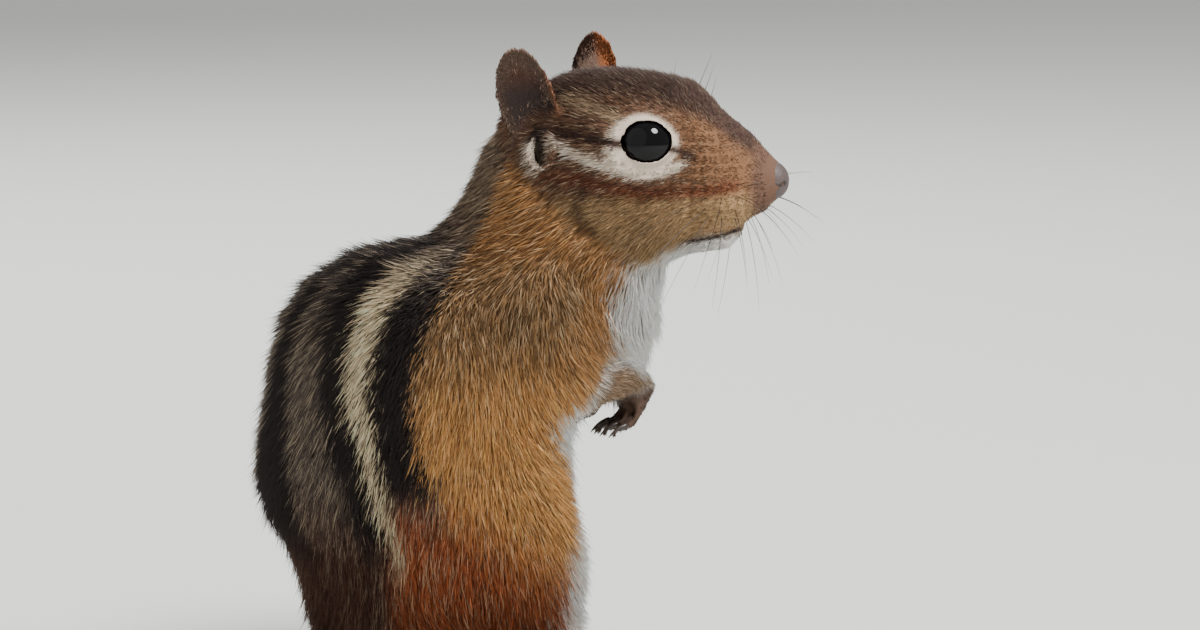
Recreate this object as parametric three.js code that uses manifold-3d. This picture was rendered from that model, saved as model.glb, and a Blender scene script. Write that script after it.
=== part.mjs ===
// An eastern chipmunk at life size, sitting up on its haunches with its forepaws held to its chest,
// its head turned to its right and its tail curled forward round its right side.
// Millimetres. +Z is up and the floor is z = 0. +X is the way the chest faces and +Y is the animal's left.
// The surfaces are the outline of the coat. Only the tail's long hair is built, as flat locks on a core.

import * as THREE from "three";
import { mergeVertices } from "three/addons/utils/BufferGeometryUtils.js";
import Module from "manifold-3d";

const wasm = await Module();
wasm.setup();

const GAP = 0.3; // between neighbouring pieces
const SIDES = { right: -1, left: 1 };
const FAR = 400; // larger than the animal
const SLACK = 0.05; // how far a facet may be from the surface it stands for
const WELD = 0.001; // vertices nearer than this are one
const CAP = 3; // how far a surface runs past the plane where it ends
const CAST = { share: 0.7, least: 0.1, halvings: 18 }; // steps of a ray towards a surface
const UP = new THREE.Vector3(0, 0, 1);
const LEFT = new THREE.Vector3(0, 1, 0);

// Trunk: rounded masses along a curved back, in the animal's frame
const PELVIS = { at: [-1.8, 0, 17], radii: [18, 21, 18] };
const LOIN = { at: [-2.5, 0, 37], radii: [25.5, 22.5, 22] };
const RIBS = { at: [-2.6, 0, 53], radii: [22.6, 20, 18.8] };
const CHEST = { at: [20, -1, 59], radii: [18.8, 16, 15.5] };
const NECK = { from: [14.5, -0.5, 62], to: [21.5, -3, 79.5], radii: [14, 13.6] };
const HAUNCH = { at: [3.5, 14.5, 21], radii: [17, 11, 19.5] };
const UPPER_ARM = { from: [12, 12.5, 62], to: [15.5, 15.5, 51], radii: [8, 6.2] };
const TRUNK_BLEND = 7;
const LIMB_BLEND = 4;
const SPINE = [[-4, 0, 14], [-2.5, 0, 33], [5, 0, 52], [15, 0, 66], [21, 0, 80]];

// Where the trunk is parted: a plane at the neck, and an ellipsoid round each thigh and upper arm
const NECK_CUT = { point: [2, 0, 73], normal: [0.436, 0, 0.9] };
const THIGH_CUT = { at: [5, 21, 18], radii: [19, 13, 25] };
const ARM_CUT = { at: [15.5, 19, 54.5], radii: [9.5, 9.5, 13.5] };

// Head, in a frame of its own: +X to the nose, +Y to its left, +Z up
const HEAD = { at: [30.9, -9.5, 83], turn: -43 };
const CRANIUM = { at: [-3, 0, 3.3], radii: [15.5, 12.4, 11.4] };
const CHEEK = { at: [-1, 5.2, -5], radii: [12.5, 8.2, 10.3] };
const MUZZLE = { points: [[6.5, 0, 1.8], [13.2, 0, -0.6], [19.6, 0, -2.5]], radii: [11.2, 6.8, 4.2] };
const MUZZLE_SQUEEZE = 1.2; // how much taller than wide it is
const JAW = { from: [1.5, 0, -8.8], to: [13.8, 0, -10.7], radii: [7.4, 3.3] };
const WHISKER_PAD = { at: [15.4, 3.2, -5.7], radii: [5, 3.7, 3.8] };
const NOSE = { at: [21.9, 0, -2.4], radii: [2.8, 2.9, 3.1] };
const BROW = { at: [4.5, 6.9, 7.6], radii: [6, 3.2, 2.4] };
const HEAD_BLEND = 4;
const NOSE_BLEND = 1.6;
const HEAD_AXIS = [[-5, 0, 0], [6, 0, -0.5], [20.5, 0, -2.6]];
const HEAD_CUT = { point: [-13.5, 0, 0], normal: [-0.645, 0, -0.764] };

// Face
const EYE = { at: [4.6, 8.1, 3.6], radius: 4.5, faces: [0.26, 0.95, 0.16] };
const LID = { halfLength: 4.7, halfHeight: 3.8, thick: 0.75, stand: 0.35, tube: 0.24 }; // tube: of the ring
const NOSTRIL = { at: [23.8, 1.7, -2.7], radii: [1.3, 0.55, 0.8] };
const MOUTH = { front: 21, back: 9, height: -8.4, drop: 3.4, wide: 0.5, deep: 1.3, across: 30 };
const CLEFT = { at: [21.6, 0, -5.8], size: [5, 0.5, 3.4] };

// Ears: a leaf rolled into a cup, widest near the middle and rolled tightest at the root
const EAR = {
  root: [-11.4, 10.2, 1.2], height: 18.2, halfWidth: 5.1, narrow: 0.05, thick: 0.95,
  rollAtRoot: 3.3, rollAtTip: 13, splay: 14, rim: 0.4, // rim: how sharply its faces meet
};
const EAR_LEAN = { right: 13, left: 0 }; // degrees back
const EAR_TURN = { right: 72, left: 78 }; // degrees the cup faces out from straight ahead
const EAR_HOLE = { at: [-10.4, 12, 2], radii: [1.9, 3.2, 2.9] };

// Forelegs
const FOREARM = { points: [[14.5, 15.8, 50.5], [23, 12.6, 48.6], [31, 8.2, 48.8]], radii: [5.2, 4.2, 3.1] };
const PALM = { points: [[31, 8.2, 48.8], [32, 7.6, 46.6], [31.5, 7.2, 44.8]], radii: [3, 3, 2.6] };
const WRIST_CUT = { point: [31.5, 8, 47.6], normal: [0.25, 0, -0.97] };
const FINGERS = { count: 4, spread: 1.75, radii: [1.15, 1.05, 0.85], shortest: 0.85 };
const FINGER_PATH = [[31.6, 0, 45.2], [31, 0, 42.2], [27.9, 0, 41.4]];
const FINGER_CLAW = [[28.2, 0, 41.7], [26.9, 0, 41.2], [25.8, 0, 40]];

// Hind feet
const FOOT = { points: [[-9, 13.6, 3.1], [5, 15.4, 3.2], [17.5, 17.4, 2.6]], radii: [3.3, 3.2, 2.7] };
const FOOT_WIDEN = 1.35;
const TOES = { count: 5, spread: 1.9, radii: [1.6, 1.5, 1.25], shortest: 0.72 };
const TOE_PATH = [[17, 0, 2.1], [21.5, 0, 2.5], [26.2, 0, 1.2]];
const TOE_CLAW = [[25.8, 0, 1.7], [28, 0, 1.6], [29.4, 0, 0.4]];
const CLAW_RADII = [0.7, 0.45, 0.12];
const FAN = 0.14; // how much wider the digits stand at each joint

// Tail: a core along the floor, with flat locks that lengthen towards the tip
const TAIL_PATH = [
  [-14, 0, 8], [-24, -2, 5.4], [-31.5, -9.5, 3.8], [-33, -21, 3.3], [-25, -31, 3.3],
  [-12, -36, 3.3], [-1, -36, 3.3], [7, -32, 3.6],
];
const TAIL_CORE = [5, 4.2, 3.7, 3.5, 3.5, 3.4, 3, 1.6];
const TAIL_CUTS = [0.36, 0.68]; // shares of the tail's length
const TAIL_DISC = 16; // radius of the thin cut across it
const TAIL_END = 3; // how bluntly the core ends
const LOCKS = {
  rows: 13, around: 8, first: 0.1, last: 0.97, length: [9, 15], lift: [1.6, 4.6],
  halfWidth: 1.9, halfThick: 0.5, sunk: 1.3, belly: 0.35, seed: 7,
};
const STRAY = { along: 0.6, around: 0.4, length: 2, lift: 1, drift: 0.5 }; // how unlike the locks are
const TAPER = { root: 0.55, opens: 2, closes: 1.7, point: 0.8 }; // a lock's outline from root to tip
const PAD = 0.35; // least height of a lock's middle line over the floor

// Facets
const FINE = {
  trunk: [36, 36], head: [38, 32], inner: [18, 16], ear: [22, 10], eye: [16, 12], egg: [14, 10],
  forearm: [10, 7], palm: [10, 6], finger: [6, 5], claw: [4, 4], foot: [12, 10], toe: [7, 5],
  tail: [10, 36], lock: [4, 5], lid: [6, 24], mouth: 8, disc: 24,
};
const TAIL_PLACES = 50; // tried when a length of tail is looked up

const COLOURS = {
  fur: 0xa8703c, crown: 0x6f4630, back: 0x5b4636, rump: 0x8c4a22, ear: 0x7a4426,
  eye: 0x08080a, paw: 0x5a4638, tail: 0x4c443c,
};

const vector = ([x, y, z], side = 1) => new THREE.Vector3(x, y * side, z);
const degrees = THREE.MathUtils.degToRad;

// Fields: the signed distance from a point to a surface, negative inside

function ellipsoid({ at, radii: [a, b, c] }, side = 1) {
  const centre = vector(at, side);
  return (p) => {
    const x = (p.x - centre.x) / a, y = (p.y - centre.y) / b, z = (p.z - centre.z) / c;
    const near = Math.hypot(x, y, z);
    return near < 1e-6 ? -Math.min(a, b, c) : (near * (near - 1)) / Math.hypot(x / a, y / b, z / c);
  };
}

function limb({ from, to, radii }, side = 1) {
  const line = new THREE.Line3(vector(from, side), vector(to, side));
  const near = new THREE.Vector3();
  return (p) => {
    const t = line.closestPointToPointParameter(p, true);
    return line.at(t, near).distanceTo(p) - THREE.MathUtils.lerp(radii[0], radii[1], t);
  };
}

// Joins fields with a fillet of about the given width.
function blend(width, ...fields) {
  return (p) => fields.map((f) => f(p)).reduce((a, b) => {
    const near = Math.max(width - Math.abs(a - b), 0) / width;
    return Math.min(a, b) - (near * near * width) / 4;
  });
}

const chain = ({ points, radii }, side = 1) => blend(
  radii[0] / 2,
  ...points.slice(1).map((to, i) => limb({ from: points[i], to, radii: radii.slice(i, i + 2) }, side)),
);

function paired(make, part) {
  const right = make(part, SIDES.right), left = make(part, SIDES.left);
  return (p) => Math.min(right(p), left(p));
}

// Stops a field at a plane, so that a surface ends there.
function capped(field, { point, normal }, beyond) {
  const plane = new THREE.Plane().setFromNormalAndCoplanarPoint(vector(normal).normalize(), vector(point));
  return (p) => Math.max(field(p), plane.distanceToPoint(p) - beyond);
}

const headMatrix = new THREE.Matrix4().compose(
  vector(HEAD.at),
  new THREE.Quaternion().setFromAxisAngle(UP, degrees(HEAD.turn)),
  new THREE.Vector3(1, 1, 1),
);
const headInverse = headMatrix.clone().invert();

const squeezed = new THREE.Vector3();
const muzzleRound = chain(MUZZLE);
const muzzle = (p) => muzzleRound(squeezed.set(p.x, p.y * MUZZLE_SQUEEZE, p.z));
const headShape = blend(
  NOSE_BLEND,
  blend(
    HEAD_BLEND,
    ellipsoid(CRANIUM), paired(ellipsoid, CHEEK), muzzle, limb(JAW),
    paired(ellipsoid, WHISKER_PAD), paired(ellipsoid, BROW),
  ),
  ellipsoid(NOSE),
);
const trunkShape = blend(
  LIMB_BLEND,
  blend(TRUNK_BLEND, ellipsoid(PELVIS), ellipsoid(LOIN), ellipsoid(RIBS), ellipsoid(CHEST), limb(NECK)),
  paired(ellipsoid, HAUNCH),
  paired(limb, UPPER_ARM),
);
const inHead = new THREE.Vector3();
const bodyShape = blend(TRUNK_BLEND, trunkShape, (p) => headShape(inHead.copy(p).applyMatrix4(headInverse)));
const inBody = new THREE.Vector3();
const headAndNeck = (p) => bodyShape(inBody.copy(p).applyMatrix4(headMatrix));

// Solids

function bare(geometry) {
  for (const name of ["normal", "uv"]) geometry.deleteAttribute(name);
  return mergeVertices(geometry);
}

function solid(geometry) {
  const closed = bare(geometry.clone());
  const corners = new Uint32Array(closed.index.array);
  const vertices = closed.getAttribute("position").array;
  const mesh = (triVerts) => new wasm.Mesh({ numProp: 3, vertProperties: vertices, triVerts });
  const wrap = (triVerts) => new wasm.Manifold(mesh(triVerts));
  const shape = wrap(corners);
  return shape.volume() < 0 ? wrap(corners.reverse()) : shape; // faces that point inwards are turned
}

function largest(shape) {
  return shape.decompose().reduce((a, b) => (a.volume() > b.volume() ? a : b));
}

function geometryOf(shape) {
  const mesh = largest(shape).getMesh();
  const geometry = new THREE.BufferGeometry();
  geometry.setAttribute("position", new THREE.BufferAttribute(mesh.vertProperties, 3));
  geometry.setIndex(new THREE.BufferAttribute(mesh.triVerts, 1));
  return geometry;
}

// Moves the vertices of a closed geometry: place(unit position) gives each one's new place.
function shaped(geometry, place) {
  const closed = bare(geometry);
  const position = closed.getAttribute("position");
  const p = new THREE.Vector3();
  for (let i = 0; i < position.count; i++) {
    place(p.fromBufferAttribute(position, i));
    position.setXYZ(i, p.x, p.y, p.z);
  }
  return solid(closed);
}

// How far out from a point inside the field a ray meets the given level.
function reachOf(field, origin, direction, level) {
  const probe = new THREE.Vector3();
  const at = (r) => field(probe.copy(origin).addScaledVector(direction, r)) - level;
  let inside = 0, outside = 0;
  for (let value = at(0); value < 0 && outside < FAR; value = at(outside)) {
    inside = outside;
    outside += Math.max(-value * CAST.share, CAST.least);
  }
  for (let i = 0; i < CAST.halvings; i++) {
    const middle = (inside + outside) / 2;
    if (at(middle) < 0) inside = middle;
    else outside = middle;
  }
  return outside;
}

// The surface of a field round an axis: a sphere whose vertices are cast out from the axis.
function skin(field, points, [around, along], { level = 0, across = LEFT } = {}) {
  const axis = new THREE.CatmullRomCurve3(points.map((p) => vector(p)));
  const origin = new THREE.Vector3(), direction = new THREE.Vector3(), side = new THREE.Vector3();
  return shaped(new THREE.SphereGeometry(1, around, along), (p) => {
    const share = THREE.MathUtils.clamp((1 + p.y) / 2, 0, 1);
    axis.getPointAt(share, origin);
    const tangent = axis.getTangentAt(share);
    const third = side.crossVectors(across, tangent).normalize();
    const second = new THREE.Vector3().crossVectors(tangent, third);
    direction.copy(tangent).multiplyScalar(p.y).addScaledVector(second, p.x).addScaledVector(third, p.z);
    direction.normalize();
    p.copy(origin).addScaledVector(direction, reachOf(field, origin, direction, level));
  });
}

// A rounded limb along a few points, on one side of the animal.
function rounded({ points, radii }, side, facets, options) {
  const placed = points.map(([x, y, z]) => [x, y * side, z]);
  return skin(chain({ points: placed, radii }), placed, facets, options);
}

function egg({ at, radii }, side = 1, grow = 0) {
  const [a, b, c] = radii.map((r) => r + grow);
  return solid(new THREE.SphereGeometry(1, ...FINE.egg).scale(a, b, c).translate(at[0], at[1] * side, at[2]));
}

// Everything on the side of a plane that its normal points to.
function beyond({ point, normal }, shift = 0, side = 1) {
  const direction = vector(normal, side).normalize();
  const box = new THREE.BoxGeometry(FAR, FAR, FAR).translate(0, 0, FAR / 2);
  box.applyQuaternion(new THREE.Quaternion().setFromUnitVectors(UP, direction));
  const place = vector(point, side).addScaledVector(direction, shift);
  return solid(box.translate(place.x, place.y, place.z));
}

const below = beyond({ point: [0, 0, 0], normal: [0, 0, -1] });

function moved(shape, matrix) {
  return solid(geometryOf(shape).applyMatrix4(matrix));
}

// A finished piece: without facets too small to matter, and closed once its nearest vertices are one.
function finished(shape) {
  const welded = mergeVertices(geometryOf(shape.simplify(SLACK)), WELD);
  const geometry = geometryOf(solid(welded)).toNonIndexed();
  geometry.computeVertexNormals();
  return geometry;
}

// Digits: fingers or toes side by side, each with its claw

function digits(numbers, path, claw, centre, side, facets) {
  const middle = (numbers.count - 1) / 2;
  const tip = path.length - 1;
  const shapes = [];
  for (let i = 0; i < numbers.count; i++) {
    const from = Math.abs(i - middle) / middle;
    const reach = 1 - (1 - numbers.shortest) * from * from;
    const shift = (i - middle) * numbers.spread;
    const across = (n) => centre + shift * (1 + FAN * n);
    const joint = ([x, , z], n) => [path[0][0] + (x - path[0][0]) * reach, across(n), z];
    const [endX] = joint(path[tip], tip);
    const clawPoints = claw.map(([x, , z]) => [endX + (x - path[tip][0]), across(tip), z]);
    shapes.push(rounded({ points: path.map(joint), radii: numbers.radii }, side, facets));
    shapes.push(rounded({ points: clawPoints, radii: CLAW_RADII }, side, FINE.claw));
  }
  return shapes;
}

// Trunk, neck, thighs and upper arms are one surface, parted by thin cuts
const headCutInBody = {
  point: vector(HEAD_CUT.point).applyMatrix4(headMatrix).toArray(),
  normal: vector(HEAD_CUT.normal).transformDirection(headMatrix).toArray(),
};
const towardsHead = { point: headCutInBody.point, normal: headCutInBody.normal.map((n) => -n) };
const bodyField = capped(bodyShape, towardsHead, CAP);
const grownBody = skin(bodyField, SPINE, FINE.trunk, { level: GAP });

function feetOf(side, grow) {
  const centre = FOOT.points[2][1];
  const widened = (p) => new THREE.Vector3(p.x, (p.y - centre * side) / FOOT_WIDEN + centre * side, p.z);
  const shape = chain(FOOT, side);
  const placed = FOOT.points.map(([x, y, z]) => [x, y * side, z]);
  const sole = skin((p) => shape(widened(p)), placed, FINE.foot, { level: grow });
  const toes = { ...TOES, radii: TOES.radii.map((r) => r + grow) };
  return wasm.Manifold.union([sole, ...digits(toes, TOE_PATH, TOE_CLAW, centre, side, FINE.toe)]);
}

let trunk = skin(bodyField, SPINE, FINE.trunk).subtract(below);
const feet = {};
for (const [name, side] of Object.entries(SIDES)) {
  feet[name] = feetOf(side, 0).subtract(below);
  trunk = trunk.subtract(feetOf(side, GAP));
}
const neck = trunk.intersect(beyond(NECK_CUT, GAP / 2)).subtract(beyond(towardsHead, -GAP / 2));
trunk = trunk.subtract(beyond(NECK_CUT, -GAP / 2));

const made = [];
const add = (name, shape, colour, roughness = 0.9) => made.push({ name, shape, colour, roughness });

for (const [name, side] of Object.entries(SIDES)) {
  add(`thigh_${name}`, trunk.intersect(egg(THIGH_CUT, side, -GAP / 2)), COLOURS.rump);
  add(`upper_arm_${name}`, trunk.intersect(egg(ARM_CUT, side, -GAP / 2)), COLOURS.fur);
  trunk = trunk.subtract(egg(THIGH_CUT, side, GAP / 2)).subtract(egg(ARM_CUT, side, GAP / 2));
  add(`hind_foot_${name}`, feet[name], COLOURS.paw);
}
add("torso", trunk, COLOURS.back);
add("neck", neck, COLOURS.fur);

// Forelegs: a forearm out of the chest, and a paw that hangs from the wrist
for (const [name, side] of Object.entries(SIDES)) {
  const forearm = rounded(FOREARM, side, FINE.forearm);
  const palm = rounded(PALM, side, FINE.palm);
  const fingers = digits(FINGERS, FINGER_PATH, FINGER_CLAW, PALM.points[2][1], side, FINE.finger);
  const hand = wasm.Manifold.union([palm, ...fingers]);
  add(
    `forearm_${name}`,
    forearm.subtract(grownBody).subtract(beyond(WRIST_CUT, -GAP / 2, side)), COLOURS.fur,
  );
  add(
    `forepaw_${name}`,
    hand.subtract(grownBody).intersect(beyond(WRIST_CUT, GAP / 2, side)), COLOURS.paw,
  );
}

// Head with sockets, lids, nostrils, mouth and ear holes

function lids(side) {
  const facing = vector(EYE.faces, side).normalize();
  const long = new THREE.Vector3(1, 0, 0).addScaledVector(facing, -facing.x).normalize();
  const high = new THREE.Vector3().crossVectors(long, facing).multiplyScalar(side);
  const centre = vector(EYE.at, side);
  const reach = EYE.radius + LID.stand;
  return shaped(new THREE.TorusGeometry(1, LID.tube, ...FINE.lid), (p) => {
    const u = p.x * LID.halfLength, v = p.y * LID.halfHeight;
    const rise = Math.sqrt(Math.max(reach * reach - u * u - v * v, 1)) + (p.z / LID.tube) * LID.thick;
    p.copy(centre).addScaledVector(long, u).addScaledVector(high, v).addScaledVector(facing, rise);
  });
}

function mouthCutter(shape) {
  const { front, back, height, drop, wide, across } = MOUTH;
  const sheet = shaped(new THREE.BoxGeometry(1, 1, 1, FINE.mouth, 1, 1), (p) => {
    const share = 0.5 - p.x; // 0 at the front
    const line = height - drop * Math.sin((share * Math.PI) / 2);
    p.set(front - share * (front - back), p.y * across, line + p.z * wide);
  });
  return sheet.subtract(shape);
}

const headField = capped(headAndNeck, HEAD_CUT, CAP);
const innerHead = skin(headField, HEAD_AXIS, FINE.inner, { level: -MOUTH.deep });
const grownHead = skin(headField, HEAD_AXIS, FINE.head, { level: GAP });
const cleft = solid(new THREE.BoxGeometry(...CLEFT.size).translate(...CLEFT.at)).subtract(innerHead);
let head = skin(headField, HEAD_AXIS, FINE.head).subtract(beyond(HEAD_CUT, -GAP / 2));
head = head.subtract(mouthCutter(innerHead)).subtract(cleft);
for (const side of Object.values(SIDES)) {
  head = head.add(lids(side)).subtract(egg({ at: EYE.at, radii: [0, 0, 0] }, side, EYE.radius + GAP));
  head = head.subtract(egg(NOSTRIL, side)).subtract(egg(EAR_HOLE, side));
}
add("head", moved(head, headMatrix), COLOURS.crown);

for (const [name, side] of Object.entries(SIDES)) {
  const centre = vector(EYE.at, side).applyMatrix4(headMatrix);
  const ball = new THREE.SphereGeometry(EYE.radius, ...FINE.eye).translate(centre.x, centre.y, centre.z);
  add(`eye_${name}`, solid(ball), COLOURS.eye, 0.05);
}

// The ear's cup: a disc laid on a roll that opens out from root to tip
function earLeaf() {
  const { height, halfWidth, narrow, thick, rollAtRoot, rollAtTip, rim } = EAR;
  return shaped(new THREE.SphereGeometry(1, ...FINE.ear), (p) => {
    const up = (p.z + 1) / 2;
    const roll = THREE.MathUtils.lerp(rollAtRoot, rollAtTip, up);
    const angle = (p.x * halfWidth * (1 - narrow * up)) / roll;
    const out = roll - (Math.sign(p.y) * Math.abs(p.y) ** rim * thick) / 2;
    p.set(out * Math.sin(angle), roll - out * Math.cos(angle), up * height);
  });
}

for (const [name, side] of Object.entries(SIDES)) {
  const pose = new THREE.Matrix4().makeRotationZ(degrees(side * EAR_TURN[name] - 90));
  const lean = new THREE.Matrix4().makeRotationFromEuler(
    new THREE.Euler(degrees(-side * EAR.splay), degrees(-EAR_LEAN[name]), 0),
  );
  const place = new THREE.Matrix4().setPosition(vector(EAR.root, side)).multiply(lean).multiply(pose);
  const leaf = moved(earLeaf(), place).subtract(grownHead);
  add(`ear_${name}`, moved(leaf, headMatrix), COLOURS.ear);
}

// Tail

// Even random numbers from 0 to 1, the same each time
function seeded(seed) {
  const times = 1664525, plus = 1013904223, size = 2 ** 32;
  let state = seed;
  return () => {
    state = (state * times + plus) % size;
    return state / size;
  };
}

const tailAxis = new THREE.CatmullRomCurve3(TAIL_PATH.map((p) => vector(p)));
const tailLength = tailAxis.getLength();

function tailFrame(share) {
  const along = tailAxis.getTangentAt(share);
  const out = new THREE.Vector3().crossVectors(along, UP).normalize();
  return { at: tailAxis.getPointAt(share), along, out, up: new THREE.Vector3().crossVectors(out, along) };
}

function coreRadius(share) {
  const place = share * (TAIL_CORE.length - 1);
  const i = Math.min(Math.floor(place), TAIL_CORE.length - 2);
  return THREE.MathUtils.lerp(TAIL_CORE[i], TAIL_CORE[i + 1], place - i);
}

function tailCore() {
  return shaped(new THREE.SphereGeometry(1, ...FINE.tail), (p) => {
    const share = THREE.MathUtils.clamp((1 + p.y) / 2, 0, 1);
    const { at, out, up } = tailFrame(share);
    const ring = Math.hypot(p.x, p.z) || 1;
    const swell = (Math.min(ring * TAIL_END, 1) * coreRadius(share)) / ring;
    const u = p.x * swell, w = p.z * swell;
    p.copy(at).addScaledVector(out, u).addScaledVector(up, w);
  });
}

// A place off the tail's axis. Past the tip the axis runs straight on.
function offAxis(share, angle, radius) {
  const { at, along, out, up } = tailFrame(Math.min(share, 1));
  const outward = out.clone().multiplyScalar(Math.cos(angle)).addScaledVector(up, Math.sin(angle));
  at.addScaledVector(along, Math.max(share - 1, 0) * tailLength).addScaledVector(outward, radius);
  return { at, outward, across: new THREE.Vector3().crossVectors(along, outward) };
}

// One flat lock: it leaves the core at a slant, follows the tail's bend and ends in a point.
function lock({ share, angle, length, lift, drift }) {
  const root = coreRadius(share) - LOCKS.sunk;
  return shaped(new THREE.SphereGeometry(1, ...FINE.lock), (p) => {
    const t = THREE.MathUtils.clamp((1 - p.y) / 2, 0, 1);
    const ring = Math.hypot(p.x, p.z) || 1;
    const opening = Math.min(TAPER.root + TAPER.opens * t, 1);
    const closing = Math.min(TAPER.closes * (1 - t), 1) ** TAPER.point;
    const taper = t > 0 && t < 1 ? opening * closing : 0;
    const u = (p.x / ring) * taper * LOCKS.halfWidth, w = (p.z / ring) * taper * LOCKS.halfThick;
    const rise = (LOCKS.sunk + lift) * Math.sin((t * Math.PI) / 2);
    const place = share + (t * length) / tailLength;
    const { at, outward, across } = offAxis(place, angle + drift * t, root + rise);
    p.copy(at).addScaledVector(across, u).addScaledVector(outward, w);
    p.z = Math.max(p.z, -PAD);
  });
}

function tailLocks() {
  const random = seeded(LOCKS.seed);
  const spread = (size) => size * (random() - 0.5);
  const locks = [];
  for (let row = 0; row < LOCKS.rows; row++) {
    for (let k = 0; k < LOCKS.around; k++) {
      const along = THREE.MathUtils.clamp((row + spread(STRAY.along)) / (LOCKS.rows - 1), 0, 1);
      const share = THREE.MathUtils.lerp(LOCKS.first, LOCKS.last, along);
      const angle = ((k + 0.5 * (row % 2) + spread(STRAY.around)) / LOCKS.around) * 2 * Math.PI;
      const length = THREE.MathUtils.lerp(...LOCKS.length, along) + spread(STRAY.length);
      const lift = THREE.MathUtils.lerp(...LOCKS.lift, along) + spread(STRAY.lift);
      const drift = spread(STRAY.drift);
      if (Math.sin(angle) > -LOCKS.belly) locks.push(lock({ share, angle, length, lift, drift }));
    }
  }
  return locks;
}

const wholeTail = wasm.Manifold.union([tailCore(), ...tailLocks()])
  .subtract(below).subtract(grownBody).subtract(feetOf(SIDES.right, GAP));

// The tail's lengths: what is left between thin discs across it, in order from the root.
function disc(share) {
  const { at, along } = tailFrame(share);
  const plate = new THREE.CylinderGeometry(TAIL_DISC, TAIL_DISC, GAP, FINE.disc);
  plate.applyQuaternion(new THREE.Quaternion().setFromUnitVectors(new THREE.Vector3(0, 1, 0), along));
  return solid(plate.translate(at.x, at.y, at.z));
}

function shareOf(piece) {
  const { min, max } = piece.boundingBox();
  const centre = vector(min).add(vector(max)).divideScalar(2);
  const shares = Array.from({ length: TAIL_PLACES }, (_, i) => i / (TAIL_PLACES - 1));
  const gap = (share) => tailAxis.getPointAt(share).distanceTo(centre);
  return shares.reduce((a, b) => (gap(a) < gap(b) ? a : b));
}

const lengths = wholeTail.subtract(disc(TAIL_CUTS[0])).subtract(disc(TAIL_CUTS[1])).decompose()
  .sort((a, b) => b.volume() - a.volume()).slice(0, TAIL_CUTS.length + 1)
  .sort((a, b) => shareOf(a) - shareOf(b));
["tail_base", "tail_middle", "tail_tip"].forEach((name, i) => add(name, lengths[i], COLOURS.tail));

// The whole stands with the middle of its bounding box over the origin
const bounds = new THREE.Box3();
for (const { shape } of made) {
  const { min, max } = shape.boundingBox();
  bounds.union(new THREE.Box3(vector(min), vector(max)));
}
const middle = bounds.getCenter(new THREE.Vector3());
const centring = new THREE.Matrix4().makeTranslation(-middle.x, -middle.y, 0);

const animal = new THREE.Group();
for (const { name, shape, colour, roughness } of made) {
  const material = new THREE.MeshStandardMaterial({ color: colour, roughness });
  const mesh = new THREE.Mesh(finished(moved(shape, centring)), material);
  mesh.name = name;
  animal.add(mesh);
}

export default animal;
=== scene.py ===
"""An eastern chipmunk sitting up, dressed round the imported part.

One skin replaces the flesh of the solids. A coat of fine solid tufts lies over it, with the same
markings as the skin. The eyes, lids, nose, claws and whiskers are pieces of their own.
Places on the animal are in millimetres, in the trunk's frame (+X to the chest, +Y to its left, +Z up,
with the floor at zero) or in the head's frame (+X to the nose, +Y to its left, +Z up).
"""

import logging
import math
from dataclasses import dataclass, field
from enum import Enum

import bmesh
import bpy
import numpy as np
from mathutils import Matrix, Vector
from mathutils.bvhtree import BVHTree
from mathutils.kdtree import KDTree


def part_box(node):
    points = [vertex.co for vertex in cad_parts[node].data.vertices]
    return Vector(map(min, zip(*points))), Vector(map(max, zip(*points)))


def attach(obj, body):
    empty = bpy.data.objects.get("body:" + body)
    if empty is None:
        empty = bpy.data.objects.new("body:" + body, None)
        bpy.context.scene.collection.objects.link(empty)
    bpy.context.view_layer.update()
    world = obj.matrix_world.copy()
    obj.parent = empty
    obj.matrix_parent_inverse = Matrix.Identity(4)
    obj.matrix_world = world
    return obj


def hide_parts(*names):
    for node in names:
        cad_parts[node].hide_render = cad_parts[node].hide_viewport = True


MM = 0.001
BODY = "root"
UV_MAP = "OFBake"
COLOUR = "Coat"
SEED = 11
MOST_TRIANGLES = 190_000  # in one piece of coat

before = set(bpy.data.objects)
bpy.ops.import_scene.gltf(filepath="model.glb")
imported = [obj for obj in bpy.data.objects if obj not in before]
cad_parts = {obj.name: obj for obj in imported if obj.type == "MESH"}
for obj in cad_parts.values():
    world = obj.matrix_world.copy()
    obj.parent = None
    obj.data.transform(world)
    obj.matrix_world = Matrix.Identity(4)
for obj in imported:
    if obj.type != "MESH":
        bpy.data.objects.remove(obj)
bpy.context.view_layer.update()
log = logging.getLogger("chipmunk")


def linear(red: float, green: float, blue: float) -> np.ndarray:
    """Turns a screen colour of 0 to 255 into scene light.

    Args:
        red, green, blue: The screen colour's parts.

    Returns:
        The three parts in linear light.
    """
    share = np.array([red, green, blue], float) / 255
    return np.where(share <= 0.04045, share / 12.92, ((share + 0.055) / 1.055) ** 2.4)


def smooth_step(low: float, high: float, value: np.ndarray) -> np.ndarray:
    """Returns a smooth rise from 0 at low to 1 at high."""
    t = np.clip((value - low) / (high - low), 0, 1)
    return t * t * (3 - 2 * t)


def band(value: np.ndarray, low: float, high: float, soft: float) -> np.ndarray:
    """Returns 1 between low and high, with soft edges that reach as far as soft on either side."""
    return smooth_step(low - soft, low + soft, value) * (1 - smooth_step(high - soft, high + soft, value))


def unit(vectors: np.ndarray) -> np.ndarray:
    """Returns the rows of an array at length 1."""
    return vectors / np.maximum(np.linalg.norm(vectors, axis=-1, keepdims=True), 1e-9)


def mix(colour: np.ndarray, other: np.ndarray, share: np.ndarray) -> np.ndarray:
    """Returns rows of colour with the given share of another colour."""
    return colour + (other - colour) * share[:, None]


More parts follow.
